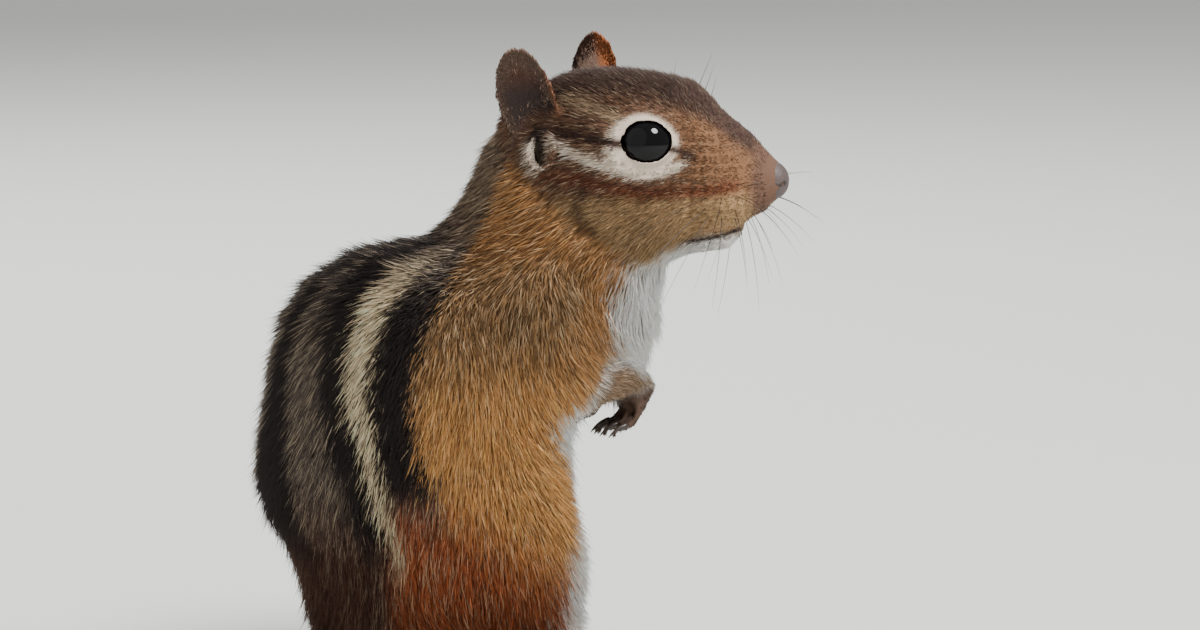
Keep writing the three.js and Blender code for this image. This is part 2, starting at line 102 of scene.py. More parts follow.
@dataclass(frozen=True)
class Line:
    """A painted line with soft edges."""

    path: tuple  # places on it, in order of the first coordinate
    half: float  # half its width
    soft: float  # half the width of its edges
    strength: float = 1.0
    ends: float = 0.8  # half the length over which it fades at its ends

    def at(self, along: np.ndarray, across: np.ndarray) -> np.ndarray:
        """Works out how strong the line is at each point.

        Args:
            along: The points' first coordinate.
            across: Their second.

        Returns:
            From 0 to the line's full strength.
        """
        first, second = zip(*self.path)
        on_line = band(across - np.interp(along, first, second), -self.half, self.half, self.soft)
        return on_line * band(along, first[0], first[-1], self.ends) * self.strength


def layered(ground: tuple, *layers: tuple) -> np.ndarray:
    """Lays colours over one another.

    Args:
        ground: The screen colour under them all.
        layers: Pairs of a screen colour and its share at each point, in order.

    Returns:
        A linear colour for each point.
    """
    colour = np.tile(linear(*ground), (len(layers[0][1]), 1))
    for over, share in layers:
        colour = mix(colour, linear(*over), share)
    return colour


def on_left(places: np.ndarray) -> np.ndarray:
    """Returns places with those on the animal's right mirrored to its left."""
    return np.abs(places * [0, 1, 0]) + places * [1, 0, 1]


def nearest_to(points: np.ndarray, rows: np.ndarray) -> KDTree:
    """Gathers points for searches.

    Args:
        points: An array of points.
        rows: The numbers of those to search.

    Returns:
        A search tree that gives those numbers.
    """
    tree = KDTree(len(rows))
    for row in rows:
        tree.insert(points[row], int(row))
    tree.balance()
    return tree


def edge_ends(mesh: bpy.types.Mesh) -> np.ndarray:
    """Reads which vertices a mesh's edges join.

    Args:
        mesh: The mesh.

    Returns:
        Two rows: the number of each edge's first vertex, and that of its second.
    """
    ends = np.empty(len(mesh.edges) * 2, int)
    mesh.edges.foreach_get("vertices", ends)
    return ends.reshape(-1, 2).T


def skin_map(mesh: bpy.types.Mesh) -> np.ndarray:
    """Reads a mesh's map.

    Args:
        mesh: The mesh.

    Returns:
        The place on the map of each corner of its faces.
    """
    places = np.empty(len(mesh.loops) * 2)
    mesh.uv_layers[UV_MAP].uv.foreach_get("vector", places)
    return places.reshape(-1, 2)


class Part(Enum):
    """The parts of the animal that differ in their coat, with the CAD nodes of each."""

    HEAD = ("head",)
    NECK = ("neck",)
    TORSO = ("torso",)
    EAR = ("ear_right", "ear_left")
    THIGH = ("thigh_right", "thigh_left")
    UPPER_ARM = ("upper_arm_right", "upper_arm_left")
    FOREARM = ("forearm_right", "forearm_left")
    FOREPAW = ("forepaw_right", "forepaw_left")
    FOOT = ("hind_foot_right", "hind_foot_left")
    TAIL = ("tail_base", "tail_middle", "tail_tip")


PARTS = list(Part)
FLESH = [node for part in Part for node in part.value]


@dataclass(frozen=True)
class Face:
    """Places on the head, in the head's frame."""

    eye: tuple = (4.6, 8.1, 3.6)
    eye_radius: float = 4.5
    eye_faces: tuple = (0.26, 0.95, 0.16)
    nose: tuple = (21.9, 0, -2.4)
    mouth_front: float = 21
    mouth_back: float = 9
    mouth_height: float = -8.4
    mouth_drop: float = 3.4

    def mouth_line(self, forward: np.ndarray) -> np.ndarray:
        """Returns the height of the line of the mouth at places from back to front."""
        share = np.clip((self.mouth_front - forward) / (self.mouth_front - self.mouth_back), 0, 1)
        return self.mouth_height - self.mouth_drop * np.sin(share * math.pi / 2)


FACE = Face()


class Anatomy:
    """The trunk's and the head's frames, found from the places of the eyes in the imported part."""

    head_at = (30.9, -9.5, 83)

    def __init__(self) -> None:
        """Measures the eyes and sets both frames."""
        right, left = (self._middle(f"eye_{side}") for side in ("right", "left"))
        leftwards = (left - right).normalized()
        forwards = leftwards.cross(Vector((0, 0, 1))).normalized()
        turn = Matrix((forwards, leftwards, Vector((0, 0, 1)))).transposed()
        eye_line = Vector((FACE.eye[0], 0, FACE.eye[2])) * MM
        head_origin = (left + right) / 2 - turn @ eye_line
        self.head = Matrix.Translation(head_origin) @ turn.to_4x4()
        self.trunk = Matrix.Translation(head_origin - Vector(self.head_at) * MM)

    def _middle(self, node: str) -> Vector:
        """Returns the middle of a CAD node's box."""
        low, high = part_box(node)
        return (low + high) / 2

    @staticmethod
    def _into(matrix: Matrix, points: np.ndarray) -> np.ndarray:
        """Returns points in metres as millimetres in a frame."""
        inverse = np.array(matrix.inverted())
        return (points @ inverse[:3, :3].T + inverse[:3, 3]) / MM

    def in_trunk(self, points: np.ndarray) -> np.ndarray:
        """Returns points in metres as millimetres in the trunk's frame."""
        return self._into(self.trunk, points)

    def in_head(self, points: np.ndarray) -> np.ndarray:
        """Returns points in metres as millimetres in the head's frame."""
        return self._into(self.head, points)

    def from_trunk(self, point: tuple) -> Vector:
        """Returns a place on the trunk in metres."""
        return self.trunk @ (Vector(point) * MM)

    def from_head(self, point: tuple) -> Vector:
        """Returns a place on the head in metres."""
        return self.head @ (Vector(point) * MM)

    def turned_with_head(self, directions: np.ndarray) -> np.ndarray:
        """Returns directions in the head's frame as directions in the part's frame."""
        return directions @ np.array(self.head.to_3x3()).T


@dataclass(frozen=True)
class TailCore:
    """The tail's core along the floor, in the trunk's frame."""

    path: tuple = (
        (-14, 0, 8), (-24, -2, 5.4), (-31.5, -9.5, 3.8), (-33, -21, 3.3),
        (-25, -31, 3.3), (-12, -36, 3.3), (-1, -36, 3.3), (7, -32, 3.6),
    )
    radii: tuple = (3.6, 2.6, 2.2, 2.0, 1.9, 1.8, 1.5, 0.8)
    steps: int = 60
    sides: int = 12

    def points(self, steps: int) -> tuple[np.ndarray, np.ndarray]:
        """Works out the curve through the path.

        Args:
            steps: How many places to give along it.

        Returns:
            The places and the radii there, in millimetres.
        """
        knots = np.array(self.path, float)
        ends = np.vstack([2 * knots[0] - knots[1], knots, 2 * knots[-1] - knots[-2]])
        place = np.linspace(0, len(knots) - 1 - 1e-6, steps)
        i = place.astype(int)
        t = (place - i)[:, None]
        a, b, c, d = ends[i], ends[i + 1], ends[i + 2], ends[i + 3]
        square = (2 * a - 5 * b + 4 * c - d) * t**2
        cube = (3 * b - a - 3 * c + d) * t**3
        curve = 0.5 * (2 * b + (c - a) * t + square + cube)
        return curve, np.interp(place, range(len(knots)), self.radii)

    def build(self, anatomy: Anatomy) -> bpy.types.Mesh:
        """Makes the core.

        Args:
            anatomy: The animal's frames.

        Returns:
            A closed mesh, in metres.
        """
        curve, radii = self.points(self.steps)
        bm = bmesh.new()
        swept(bm, [anatomy.from_trunk(at) for at in curve], radii * MM, self.sides)
        return mesh_of(bm, "tail_core")


def swept(bm: bmesh.types.BMesh, places: list, radii: np.ndarray, sides: int) -> None:
    """Adds a round closed bar: a circle extruded from place to place.

    Args:
        bm: The bmesh to add it to.
        places: The middles of its rings.
        radii: The radius of each ring.
        sides: How many corners each ring has.
    """
    tangents = unit(np.gradient(np.array(places), axis=0))
    ring = bmesh.ops.create_circle(bm, cap_ends=True, segments=sides, radius=1)["verts"]
    outline = [vertex.co.copy() for vertex in ring]
    edges = list(dict.fromkeys(edge for vertex in ring for edge in vertex.link_edges))
    for number, (at, along, radius) in enumerate(zip(places, tangents, radii)):
        if number:
            made = bmesh.ops.extrude_edge_only(bm, edges=edges)["geom"]
            ring = [g for g in made if isinstance(g, bmesh.types.BMVert)]
            edges = [g for g in made if isinstance(g, bmesh.types.BMEdge)]
        turn = Vector(along).to_track_quat("Z", "Y")
        for vertex, place in zip(ring, outline):
            vertex.co = Vector(at) + turn @ (place * radius)
    bmesh.ops.contextual_create(bm, geom=edges)
    bmesh.ops.recalc_face_normals(bm, faces=bm.faces)


def mesh_of(bm: bmesh.types.BMesh, name: str) -> bpy.types.Mesh:
    """Turns a bmesh into a mesh, and frees it.

    Args:
        bm: The bmesh.
        name: The mesh's name.

    Returns:
        The mesh.
    """
    mesh = bpy.data.meshes.new(name)
    bm.to_mesh(mesh)
    bm.free()
    return mesh


def piece(name: str, mesh: bpy.types.Mesh, material: bpy.types.Material) -> bpy.types.Object:
    """Puts a mesh in the scene as a smooth piece of the animal.

    Args:
        name: The piece's name.
        mesh: Its mesh, in metres and in place.
        material: Its finish.

    Returns:
        The object.
    """
    obj = bpy.data.objects.new(name, mesh)
    bpy.context.scene.collection.objects.link(obj)
    mesh.materials.clear()
    mesh.materials.append(material)
    mesh.polygons.foreach_set("use_smooth", [True] * len(mesh.polygons))
    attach(obj, BODY)
    log.info("%s: %d faces", name, len(mesh.polygons))
    return obj


def shaded(name: str, roughness: float, specular: float) -> tuple[bpy.types.Material, bpy.types.Node]:
    """Starts a material.

    Args:
        name: Its name.
        roughness: How matt it is.
        specular: How strongly it reflects.

    Returns:
        The material and its shader.
    """
    made = bpy.data.materials.new(name)
    made.use_nodes = True
    shader = made.node_tree.nodes["Principled BSDF"]
    shader.inputs["Roughness"].default_value = roughness
    shader.inputs["Specular IOR Level"].default_value = specular
    return made, shader


@dataclass(frozen=True)
class PlainFinish:
    """A finish of one colour."""

    name: str
    colour: tuple
    roughness: float
    specular: float = 0.5

    def material(self) -> bpy.types.Material:
        """Makes the finish.

        Returns:
            The material.
        """
        made, shader = shaded(self.name, self.roughness, self.specular)
        shader.inputs["Base Color"].default_value = (*linear(*self.colour), 1)
        return made


@dataclass(frozen=True)
class PaintedFinish:
    """A finish whose colour is the piece's own colour attribute, with fine bumps where asked."""

    name: str
    roughness: float = 0.7
    specular: float = 0.25
    bump: float = 0.0
    grain: float = 900.0

    def material(self) -> bpy.types.Material:
        """Makes the finish.

        Returns:
            The material.
        """
        made, shader = shaded(self.name, self.roughness, self.specular)
        nodes, links = made.node_tree.nodes, made.node_tree.links
        own_colour = nodes.new("ShaderNodeAttribute")
        own_colour.attribute_name = COLOUR
        links.new(own_colour.outputs["Color"], shader.inputs["Base Color"])
        if self.bump:
            place = nodes.new("ShaderNodeTexCoord")
            grain = nodes.new("ShaderNodeTexNoise")
            grain.inputs["Scale"].default_value = self.grain
            bump = nodes.new("ShaderNodeBump")
            bump.inputs["Distance"].default_value = self.bump * MM
            links.new(place.outputs["Object"], grain.inputs["Vector"])
            links.new(grain.outputs["Fac"], bump.inputs["Height"])
            links.new(bump.outputs["Normal"], shader.inputs["Normal"])
        return made


@dataclass
class Surface:
    """Points on the skin, with what the coat needs to know of each."""

    points: np.ndarray
    normals: np.ndarray
    weights: np.ndarray  # how much each point belongs to each part of the animal
    trunk: np.ndarray = field(default=None)
    head: np.ndarray = field(default=None)

    def share(self, part: Part) -> np.ndarray:
        """Returns how much each point belongs to a part."""
        return self.weights[:, PARTS.index(part)]

    def locate(self, anatomy: Anatomy) -> "Surface":
        """Works out the points in the trunk's and the head's frames.

        Args:
            anatomy: The animal's frames.

        Returns:
            The surface itself.
        """
        self.trunk = anatomy.in_trunk(self.points)
        self.head = anatomy.in_head(self.points)
        return self


@dataclass(frozen=True)
class Palette:
    """The coat's screen colours."""

    black: tuple = (36, 28, 26)
    grizzle: tuple = (98, 86, 78)
    cream: tuple = (228, 204, 168)
    tan: tuple = (214, 154, 90)
    shoulder: tuple = (160, 122, 82)
    buff: tuple = (188, 134, 82)
    nape: tuple = (134, 112, 92)
    rufous: tuple = (166, 88, 50)
    rump: tuple = (80, 50, 38)
    white: tuple = (236, 232, 226)
    crown: tuple = (76, 55, 46)
    forehead: tuple = (114, 82, 62)
    face: tuple = (138, 98, 68)
    cheek: tuple = (180, 144, 102)
    pale: tuple = (222, 204, 184)
    brow: tuple = (180, 152, 120)
    dark_line: tuple = (58, 38, 30)
    brown_line: tuple = (116, 64, 40)
    nose_fur: tuple = (112, 82, 66)
    ear_back: tuple = (118, 94, 80)
    ear_rim: tuple = (158, 92, 52)
    ear_cup: tuple = (38, 26, 22)
    ear_tip: tuple = (86, 50, 34)
    foot: tuple = (148, 116, 88)
    # the forepaws' own colour, darkened with painted shade
    forepaw: tuple = (86, 66, 54)
    forearm: tuple = (140, 112, 86)
    tail: tuple = (120, 78, 48)
    # the dark lips, with painted shade in the mouth's crease; also painted shade in the ear's opening
    lips_and_shade: tuple = (48, 34, 32)


PALETTE = Palette()


@dataclass(frozen=True)
class TrunkMarkings:
    """A grizzled back with its stripes, tan flanks, rufous haunches, a dark rump and a white belly.

    Angles go round the spine from the middle of the back, in degrees. Each band's edge is its angle
    at the heights, from low to high. A reach is a lowest and a highest place and how soft both ends
    are. Any other pair is where a change of colour begins and ends.
    """

    spine: tuple = ((-4, 14), (-2.5, 33), (5, 52), (15, 66), (21, 80))  # forward, then up
    heights: tuple = (27, 35, 42, 50, 57, 64, 70)
    median: tuple = (18, 16.5, 12.5, 8.5, 5.5, 4.5, 3)
    grizzled: tuple = (46, 40, 31, 23.5, 19.3, 12.5, 5)
    inner: tuple = (60, 50.5, 43, 34.5, 29, 23.5, 18.5)
    cream: tuple = (64.5, 56, 48.4, 41, 35.5, 32, 28)
    outer: tuple = (84, 77, 63, 55.5, 49, 44, 40)
    belly_heights: tuple = (10, 18, 26, 37, 46, 56, 60, 64, 74)
    belly: tuple = (126, 128, 131, 148, 120, 134, 128, 124, 116)
    median_reach: tuple = (27, 80, 6)
    inner_reach: tuple = (28, 74, 4)
    cream_reach: tuple = (25, 68, 3)
    outer_reach: tuple = (36, 66, 3)
    median_edge: tuple = (-2, 2)
    stripe_edge: tuple = (-1.3, 1.3)
    flank_edge: tuple = (-2, 3)
    nape_heights: tuple = (68, 76)
    shoulder_heights: tuple = (46, 62)
    buff_heights: tuple = (66, 73)
    buff_angles: tuple = (96, 108)
    rufous_top: tuple = ((55, 90, 125), (38, 34, 25))  # angles, and the heights there
    rufous_edge: tuple = (-9, 5)
    rufous_angles: tuple = (48, 62)
    rump_heights: tuple = (24, 42)
    rump_angles: tuple = (44, 64)
    belly_edge: tuple = (-6, 6)
    throat_turn: float = 18.0  # less white on the left, because the head is turned to the right
    throat_heights: tuple = (56, 76)
    throat_side: tuple = (-2, 4)
    height_noise: float = 0.8
    angle_noise: float = 1.1
    belly_noise: float = 2.0

    def angle(self, trunk: np.ndarray) -> np.ndarray:
        """Works out angles round the spine.

        Args:
            trunk: Places in the trunk's frame.

        Returns:
            Each one's angle from the middle of the back, in degrees.
        """
        forward, up = np.array(self.spine, float).T
        height = trunk[:, 2]
        lean = np.interp(height, up, np.gradient(forward, up))
        back = (np.interp(height, up, forward) - trunk[:, 0]) / np.sqrt(1 + lean**2)
        return np.degrees(np.arctan2(np.abs(trunk[:, 1]), back))

    def _between(self, angle: np.ndarray, low: np.ndarray, high: np.ndarray) -> np.ndarray:
        """Returns 1 where an angle lies between two others, with soft edges."""
        past_low, past_high = (smooth_step(*self.stripe_edge, angle - edge) for edge in (low, high))
        return past_low * (1 - past_high)

    def colour(self, s: Surface, noise: np.ndarray) -> np.ndarray:
        """Works out the trunk's colours.

        Args:
            s: The points.
            noise: A soft random number for each point, which roughens the edges.

        Returns:
            Linear colours.
        """
        up = s.trunk[:, 2] + noise * self.height_noise
        angle = self.angle(s.trunk) + noise * self.angle_noise
        edges = (self.median, self.grizzled, self.inner, self.cream, self.outer)
        median, grizzled, inner, cream, outer = (np.interp(up, self.heights, edge) for edge in edges)
        flank = smooth_step(*self.flank_edge, angle - outer)
        high = flank * smooth_step(*self.shoulder_heights, up)
        buff = np.maximum(smooth_step(*self.buff_angles, angle), smooth_step(*self.buff_heights, up))
        rufous = 1 - smooth_step(*self.rufous_edge, up - np.interp(angle, *self.rufous_top))
        rump = (1 - smooth_step(*self.rump_heights, up)) * (1 - smooth_step(*self.rump_angles, angle))
        on_median = 1 - smooth_step(*self.median_edge, angle - median)
        turn = self.throat_turn * smooth_step(*self.throat_heights, up)
        turn = turn * smooth_step(*self.throat_side, s.trunk[:, 1])
        past_belly = angle - np.interp(up, self.belly_heights, self.belly) - turn
        return layered(
            PALETTE.grizzle,
            (PALETTE.nape, smooth_step(*self.nape_heights, up)),
            (PALETTE.tan, flank),
            (PALETTE.shoulder, high),
            (PALETTE.buff, high * buff),
            (PALETTE.rufous, rufous * smooth_step(*self.rufous_angles, angle)),
            (PALETTE.rump, rump),
            (PALETTE.black, on_median * band(up, *self.median_reach)),
            (PALETTE.black, self._between(angle, grizzled, inner) * band(up, *self.inner_reach)),
            (PALETTE.cream, self._between(angle, inner, cream) * band(up, *self.cream_reach)),
            (PALETTE.black, self._between(angle, cream, outer) * band(up, *self.outer_reach)),
            (PALETTE.white, smooth_step(*self.belly_edge, past_belly + noise * self.belly_noise)),
        )


@dataclass(frozen=True)
class HeadMarkings:
    """A dark crown, pale and dark lines past the eye, buff cheeks, a white throat, dark lips, and painted
    shade in the ear's opening and the mouth's crease.

    Lines run on the side of the head, from back to front. A pair is where a change of colour begins
    and ends.
    """

    brow: Line = Line(((-8, 10.2), (-5, 9.6), (-2.3, 8.7), (1.2, 7.4)), 0.9, 0.5, 0.85)
    cheek: Line = Line(
        ((-10, -0.4), (-6.7, -0.8), (-1.3, -2.1), (5.5, -3.7), (13.5, -3.8), (18.5, -2.8)), 0.9, 0.5, 0.9
    )
    blotch: Line = Line(  # its places are up, then forward
        ((-10, -1.6), (-7.6, -3.2), (-5.2, -3.8), (-2.8, -2.8)), 0.9, 0.6, 0.7
    )
    under_eye: Line = Line(
        ((-8.4, 4.1), (-6.4, 3.0), (-3.2, 1.7), (-0.3, 0.5), (3.7, -0.9), (7, -0.8), (9.6, 0.0), (11, 0.8)),
        0.8, 0.35,
    )
    behind_eye: Line = Line(((-8.4, 6.0), (-6.7, 5.5), (-2.9, 4.6), (0.6, 3.8), (2, 3.6)), 0.75, 0.4)
    before_eye: Line = Line(((8.2, 3.4), (10.4, 2.2), (12.4, 1.4)), 0.6, 0.4)
    crown: tuple = ((-14, 8), (-6, 11.4), (2, 11.6), (7, 10.6), (12, 8.0), (17, 4.4), (21, 1.4))
    crown_edge: tuple = (-1.6, 0.6)
    throat: tuple = ((1, -18.7), (3.5, -15.8), (7, -13.1), (12, -11.3), (20, -10.4))
    throat_edge: tuple = (-1.1, 1.1)
    sides: tuple = (4, 6)
    face_from: tuple = (6, 13)
    cheek_below: tuple = (-5.5, -3)
    nose_from: tuple = (19.3, 21)
    ring_length: float = 1.12  # of the pale ring round the eye, over its height
    ring_edge: tuple = (4.4, 5.0)
    ear_hole: tuple = (-10.7, 3.9)
    ear_hole_size: tuple = (1.5, 3.1)
    # soft edge of the painted shade in the ear's opening
    ear_hole_shade_edge: tuple = (0.7, 1.1)
    ear_hole_rim: tuple = (-1, 1.45, 0.2)
    rim_below: tuple = (3, 5.5)
    rim_sides: tuple = (7, 9)
    rim_strength: float = 0.9
    lip: tuple = (-0.45, 0.35, 0.2)
    lip_reach: tuple = (30, 0.8)
    height_noise: float = 0.32

    def colour(self, s: Surface, noise: np.ndarray) -> np.ndarray:
        """Works out the head's colours.

        Args:
            s: The points.
            noise: A soft random number for each point, which roughens the edges.

        Returns:
            Linear colours.
        """
        forward, side = s.head[:, 0], np.abs(s.head[:, 1])
        up = s.head[:, 2] + noise * self.height_noise
        on_side = smooth_step(*self.sides, side)
        ring = np.hypot((forward - FACE.eye[0]) / self.ring_length, up - FACE.eye[2])
        dark = np.maximum(self.behind_eye.at(forward, up), self.before_eye.at(forward, up))
        (hole_x, hole_z), (half_x, half_z) = self.ear_hole, self.ear_hole_size
        away = np.hypot((forward - hole_x) / half_x, (up - hole_z) / half_z)
        at_ear = smooth_step(*self.rim_sides, side)
        rim = band(away, *self.ear_hole_rim) * (1 - smooth_step(*self.rim_below, up)) * at_ear
        lip = band(up - FACE.mouth_line(forward), *self.lip) * band(forward, FACE.mouth_back, *self.lip_reach)
        return layered(
            PALETTE.forehead,
            (PALETTE.face, smooth_step(*self.face_from, forward)),
            (PALETTE.cheek, 1 - smooth_step(*self.cheek_below, up)),
            (PALETTE.crown, smooth_step(*self.crown_edge, up - np.interp(forward, *zip(*self.crown)))),
            (PALETTE.brow, self.brow.at(forward, up) * on_side),
            (PALETTE.brown_line, self.cheek.at(forward, up) * on_side),
            (PALETTE.dark_line, self.blotch.at(up, forward) * on_side),
            (PALETTE.pale, self.under_eye.at(forward, up) * on_side),
            (PALETTE.pale, (1 - smooth_step(*self.ring_edge, ring)) * on_side),
            (PALETTE.dark_line, dark * on_side),
            (PALETTE.nose_fur, smooth_step(*self.nose_from, forward)),
            (PALETTE.pale, self.rim_strength * rim),
            # painted shade in the ear's opening
            (PALETTE.lips_and_shade, (1 - smooth_step(*self.ear_hole_shade_edge, away)) * at_ear),
            (PALETTE.white, 1 - smooth_step(*self.throat_edge, up - np.interp(forward, *zip(*self.throat)))),
            # dark lips along the mouth's line, with painted shade in its crease
            (PALETTE.lips_and_shade, lip),
        )


@dataclass(frozen=True)
class EarMarkings:
    """Ears that are grey-brown behind, dark in the cup and rusty along the front rim."""

    turn_right: float = 72.0  # degrees from straight ahead to where the cup faces
    turn_left: float = 78.0
    cup_edge: tuple = (-0.1, 0.35)
    tip_heights: tuple = (10, 19)
    rim_edge: tuple = (-9.6, -7.6)
    rim_lean: float = 0.3
    rim_height: float = 9.0

    def colour(self, s: Surface, anatomy: Anatomy) -> np.ndarray:
        """Works out the ears' colours.

        Args:
            s: The points.
            anatomy: The animal's frames.

        Returns:
            Linear colours.
        """
        side, up = np.sign(s.head[:, 1]), s.head[:, 2]
        turn = np.radians(np.where(side < 0, self.turn_right, self.turn_left))
        facing = np.stack([np.cos(turn), side * np.sin(turn), 0 * turn], axis=1)
        inside = smooth_step(*self.cup_edge, (s.normals * anatomy.turned_with_head(facing)).sum(axis=1))
        cup = layered(PALETTE.ear_cup, (PALETTE.ear_tip, smooth_step(*self.tip_heights, up)))
        both = linear(*PALETTE.ear_back) * (1 - inside[:, None]) + cup * inside[:, None]
        front = smooth_step(*self.rim_edge, s.head[:, 0] + self.rim_lean * (up - self.rim_height))
        return mix(both, linear(*PALETTE.ear_rim), front)


@dataclass(frozen=True)
class Markings:
    """Where the coat's colours lie, the same for skin and tufts."""

    trunk: TrunkMarkings = TrunkMarkings()
    head: HeadMarkings = HeadMarkings()
    ear: EarMarkings = EarMarkings()
    foot_below: tuple = (4, 7)

    def colour(self, s: Surface, anatomy: Anatomy, noise: np.ndarray) -> np.ndarray:
        """Works out the colour of each point.

        Args:
            s: The points.
            anatomy: The animal's frames.
            noise: A soft random number for each point.

        Returns:
            Linear colours.
        """
        body = self.trunk.colour(s, noise)
        on_head = np.clip(s.share(Part.HEAD) + s.share(Part.EAR), 0, 1)
        result = mix(body, self.head.colour(s, noise), on_head)
        result = mix(result, self.ear.colour(s, anatomy), s.share(Part.EAR))
        low = 1 - smooth_step(*self.foot_below, s.trunk[:, 2])
        result = mix(result, linear(*PALETTE.foot), s.share(Part.FOOT) * low)
        # the forepaws' colour holds painted shade
        for part, colour in (
            (Part.FOREPAW, PALETTE.forepaw), (Part.FOREARM, PALETTE.forearm), (Part.TAIL, PALETTE.tail)
        ):
            result = mix(result, linear(*colour), s.share(part))
        return result


@dataclass(frozen=True)
class CoatLengths:
    """The length of the hair on each part, in millimetres."""

    lengths: tuple = (
        (Part.HEAD, 2.3), (Part.NECK, 4.2), (Part.TORSO, 5.0), (Part.EAR, 0.85), (Part.THIGH, 4.6),
        (Part.UPPER_ARM, 4.0), (Part.FOREARM, 1.8), (Part.FOREPAW, 0.8), (Part.FOOT, 0.9), (Part.TAIL, 1.2),
    )
    muzzle: float = 0.9
    muzzle_from: tuple = (4, 17)
    lid: float = 0.7
    lid_reach: tuple = (4.6, 8.5)  # from the middle of the eye
    depth: float = 0.36  # of the hair's length, between the skin and the tips

    def of(self, s: Surface) -> np.ndarray:
        """Works out how long the hair is.

        Args:
            s: The points.

        Returns:
            The length at each point, in millimetres.
        """
        length = sum(s.share(part) * size for part, size in self.lengths)
        to_muzzle = smooth_step(*self.muzzle_from, s.head[:, 0]) * s.share(Part.HEAD)
        length = length + (self.muzzle - length) * to_muzzle
        from_eye = np.linalg.norm(on_left(s.head) - np.array(FACE.eye), axis=1)
        near_eye = 1 - smooth_step(*self.lid_reach, from_eye)
        return length + (self.lid - length) * near_eye * s.share(Part.HEAD)


@dataclass(frozen=True)
class LieOfCoat:
    """Which way the hair lies: guides on the trunk and the head, each a place and a direction."""

    trunk: tuple = (
        ((-12, 0, 68), (-0.85, 0, -0.55)), ((-27, 0, 44), (-0.1, 0, -1)), ((-20, 0, 14), (0.1, 0, -1)),
        ((0, 22, 48), (-0.4, 0, -0.92)), ((6, 25, 24), (-0.15, 0, -1)), ((24, 0, 34), (0.0, 0, -1)),
        ((38, -4, 56), (-0.25, 0, -1)), ((38, -6, 66), (0.1, 0, -1)), ((14, 18, 62), (-0.15, 0.1, -1)),
        ((16, 16, 50), (0.5, 0, -0.8)), ((24, 12, 48.5), (0.9, -0.4, 0)), ((31, 8, 47), (0.1, 0, -1)),
        ((30, 7, 42), (-0.6, 0, -0.6)), ((-4, 14, 3), (1, 0.15, 0)), ((14, 17, 3), (1, 0.1, -0.15)),
        ((25, 17, 2), (1, 0, -0.4)), ((5, 0, 78), (-0.75, 0.1, -0.66)),
    )
    head: tuple = (
        ((22, 0, 0), (-1, 0, 0.5)), ((12, 0, 8), (-1, 0, 0.3)), ((-2, 0, 14), (-1, 0, -0.1)),
        ((-14, 0, 6), (-0.7, 0, -0.7)), ((13, 6, -2), (-1, 0.25, -0.1)), ((0, 12, -4), (-1, 0.1, -0.35)),
        ((-10, 12, -6), (-0.85, 0, -0.6)), ((12, 2, -12), (-1, 0, -0.1)), ((2, 4, -15), (-0.9, 0, -0.5)),
        ((4, 10, 9), (-1, 0, 0.3)), ((4, 11, -1.5), (-1, 0, -0.25)),
    )
    soften: float = 4.0

    def at(self, s: Surface, anatomy: Anatomy) -> np.ndarray:
        """Works out the lie of the coat.

        Args:
            s: The points.
            anatomy: The animal's frames.

        Returns:
            Unit directions along the skin.
        """
        turned = np.array(anatomy.head.to_3x3())
        total = np.zeros_like(s.points)
        for guides, places, turn in ((self.trunk, s.trunk, np.eye(3)), (self.head, s.head, turned)):
            for place, direction in guides:
                for side in (1, -1) if place[1] > 0 else (1,):
                    mirror = np.array([1, side, 1])
                    away = places - np.array(place) * mirror
                    weight = 1 / ((away**2).sum(axis=1) + self.soften**2) ** 2
                    total += weight[:, None] * unit(np.array(direction, float) * mirror @ turn.T)
        ears = s.share(Part.EAR)[:, None]
        total = unit(total) * (1 - ears) + ears * np.array([0, 0, 1.0])
        return unit(total - s.normals * (total * s.normals).sum(axis=1, keepdims=True))


@dataclass(frozen=True)
class Digits:
    """Where the digits of a paw lie, in the trunk's frame, for the left side."""

    count: int
    spread: float
    shortest: float  # the outermost digit's length over the middle one's
    centre: float
    path: tuple  # forward and up, from root to tip
    claw: tuple
    fan: float = 0.14  # how much wider the digits stand at each joint
    groove: tuple = (0.04, 0.3)  # half its width at the bottom and at the top, over the spread
    groove_ends: tuple = (0.2, 1.2, 0.1)  # where the first begins, how far short the last ends, how softly

    def gaps(self, trunk: np.ndarray) -> np.ndarray:
        """Works out where the grooves between the digits lie.

        Args:
            trunk: Places in the trunk's frame.

        Returns:
            1 between two digits and 0 on them.
        """
        root, joint = self.path[0][0], self.path[1][0]
        along = np.clip((trunk[:, 0] - root) / (joint - root), 0, 2)
        spread = self.spread * (1 + self.fan * along)
        across = (np.abs(trunk[:, 1]) - self.centre) / spread + (self.count - 1) / 2
        off = np.abs(across - np.floor(across) - 0.5)
        first, last, soft = self.groove_ends
        return (1 - smooth_step(*self.groove, off)) * band(across, first, self.count - last, soft)

    def claws(self) -> list:
        """Works out where the claws lie.

        Returns:
            Three places along each claw.
        """
        middle, root, tip = (self.count - 1) / 2, self.path[0][0], self.path[-1][0]
        made = []
        for i in range(self.count):
            off = abs(i - middle) / middle
            reach = 1 - (1 - self.shortest) * off**2
            across = self.centre + (i - middle) * self.spread * (1 + 2 * self.fan)
            end = root + (tip - root) * reach
            made.append([(end + forward - tip, across, up) for forward, up in self.claw])
        return made


FINGERS = Digits(
    4, 1.75, 0.85, 7.2, ((31.6, 45.2), (31, 42.2), (27.9, 41.4)),
    ((28.6, 41.7), (26.6, 41.4), (25.3, 39.9)),
)
TOES = Digits(
    5, 1.9, 0.72, 17.4, ((17, 2.1), (21.5, 2.5), (26.2, 1.2)),
    ((25.6, 1.9), (28.0, 1.9), (29.6, 0.45)),
)


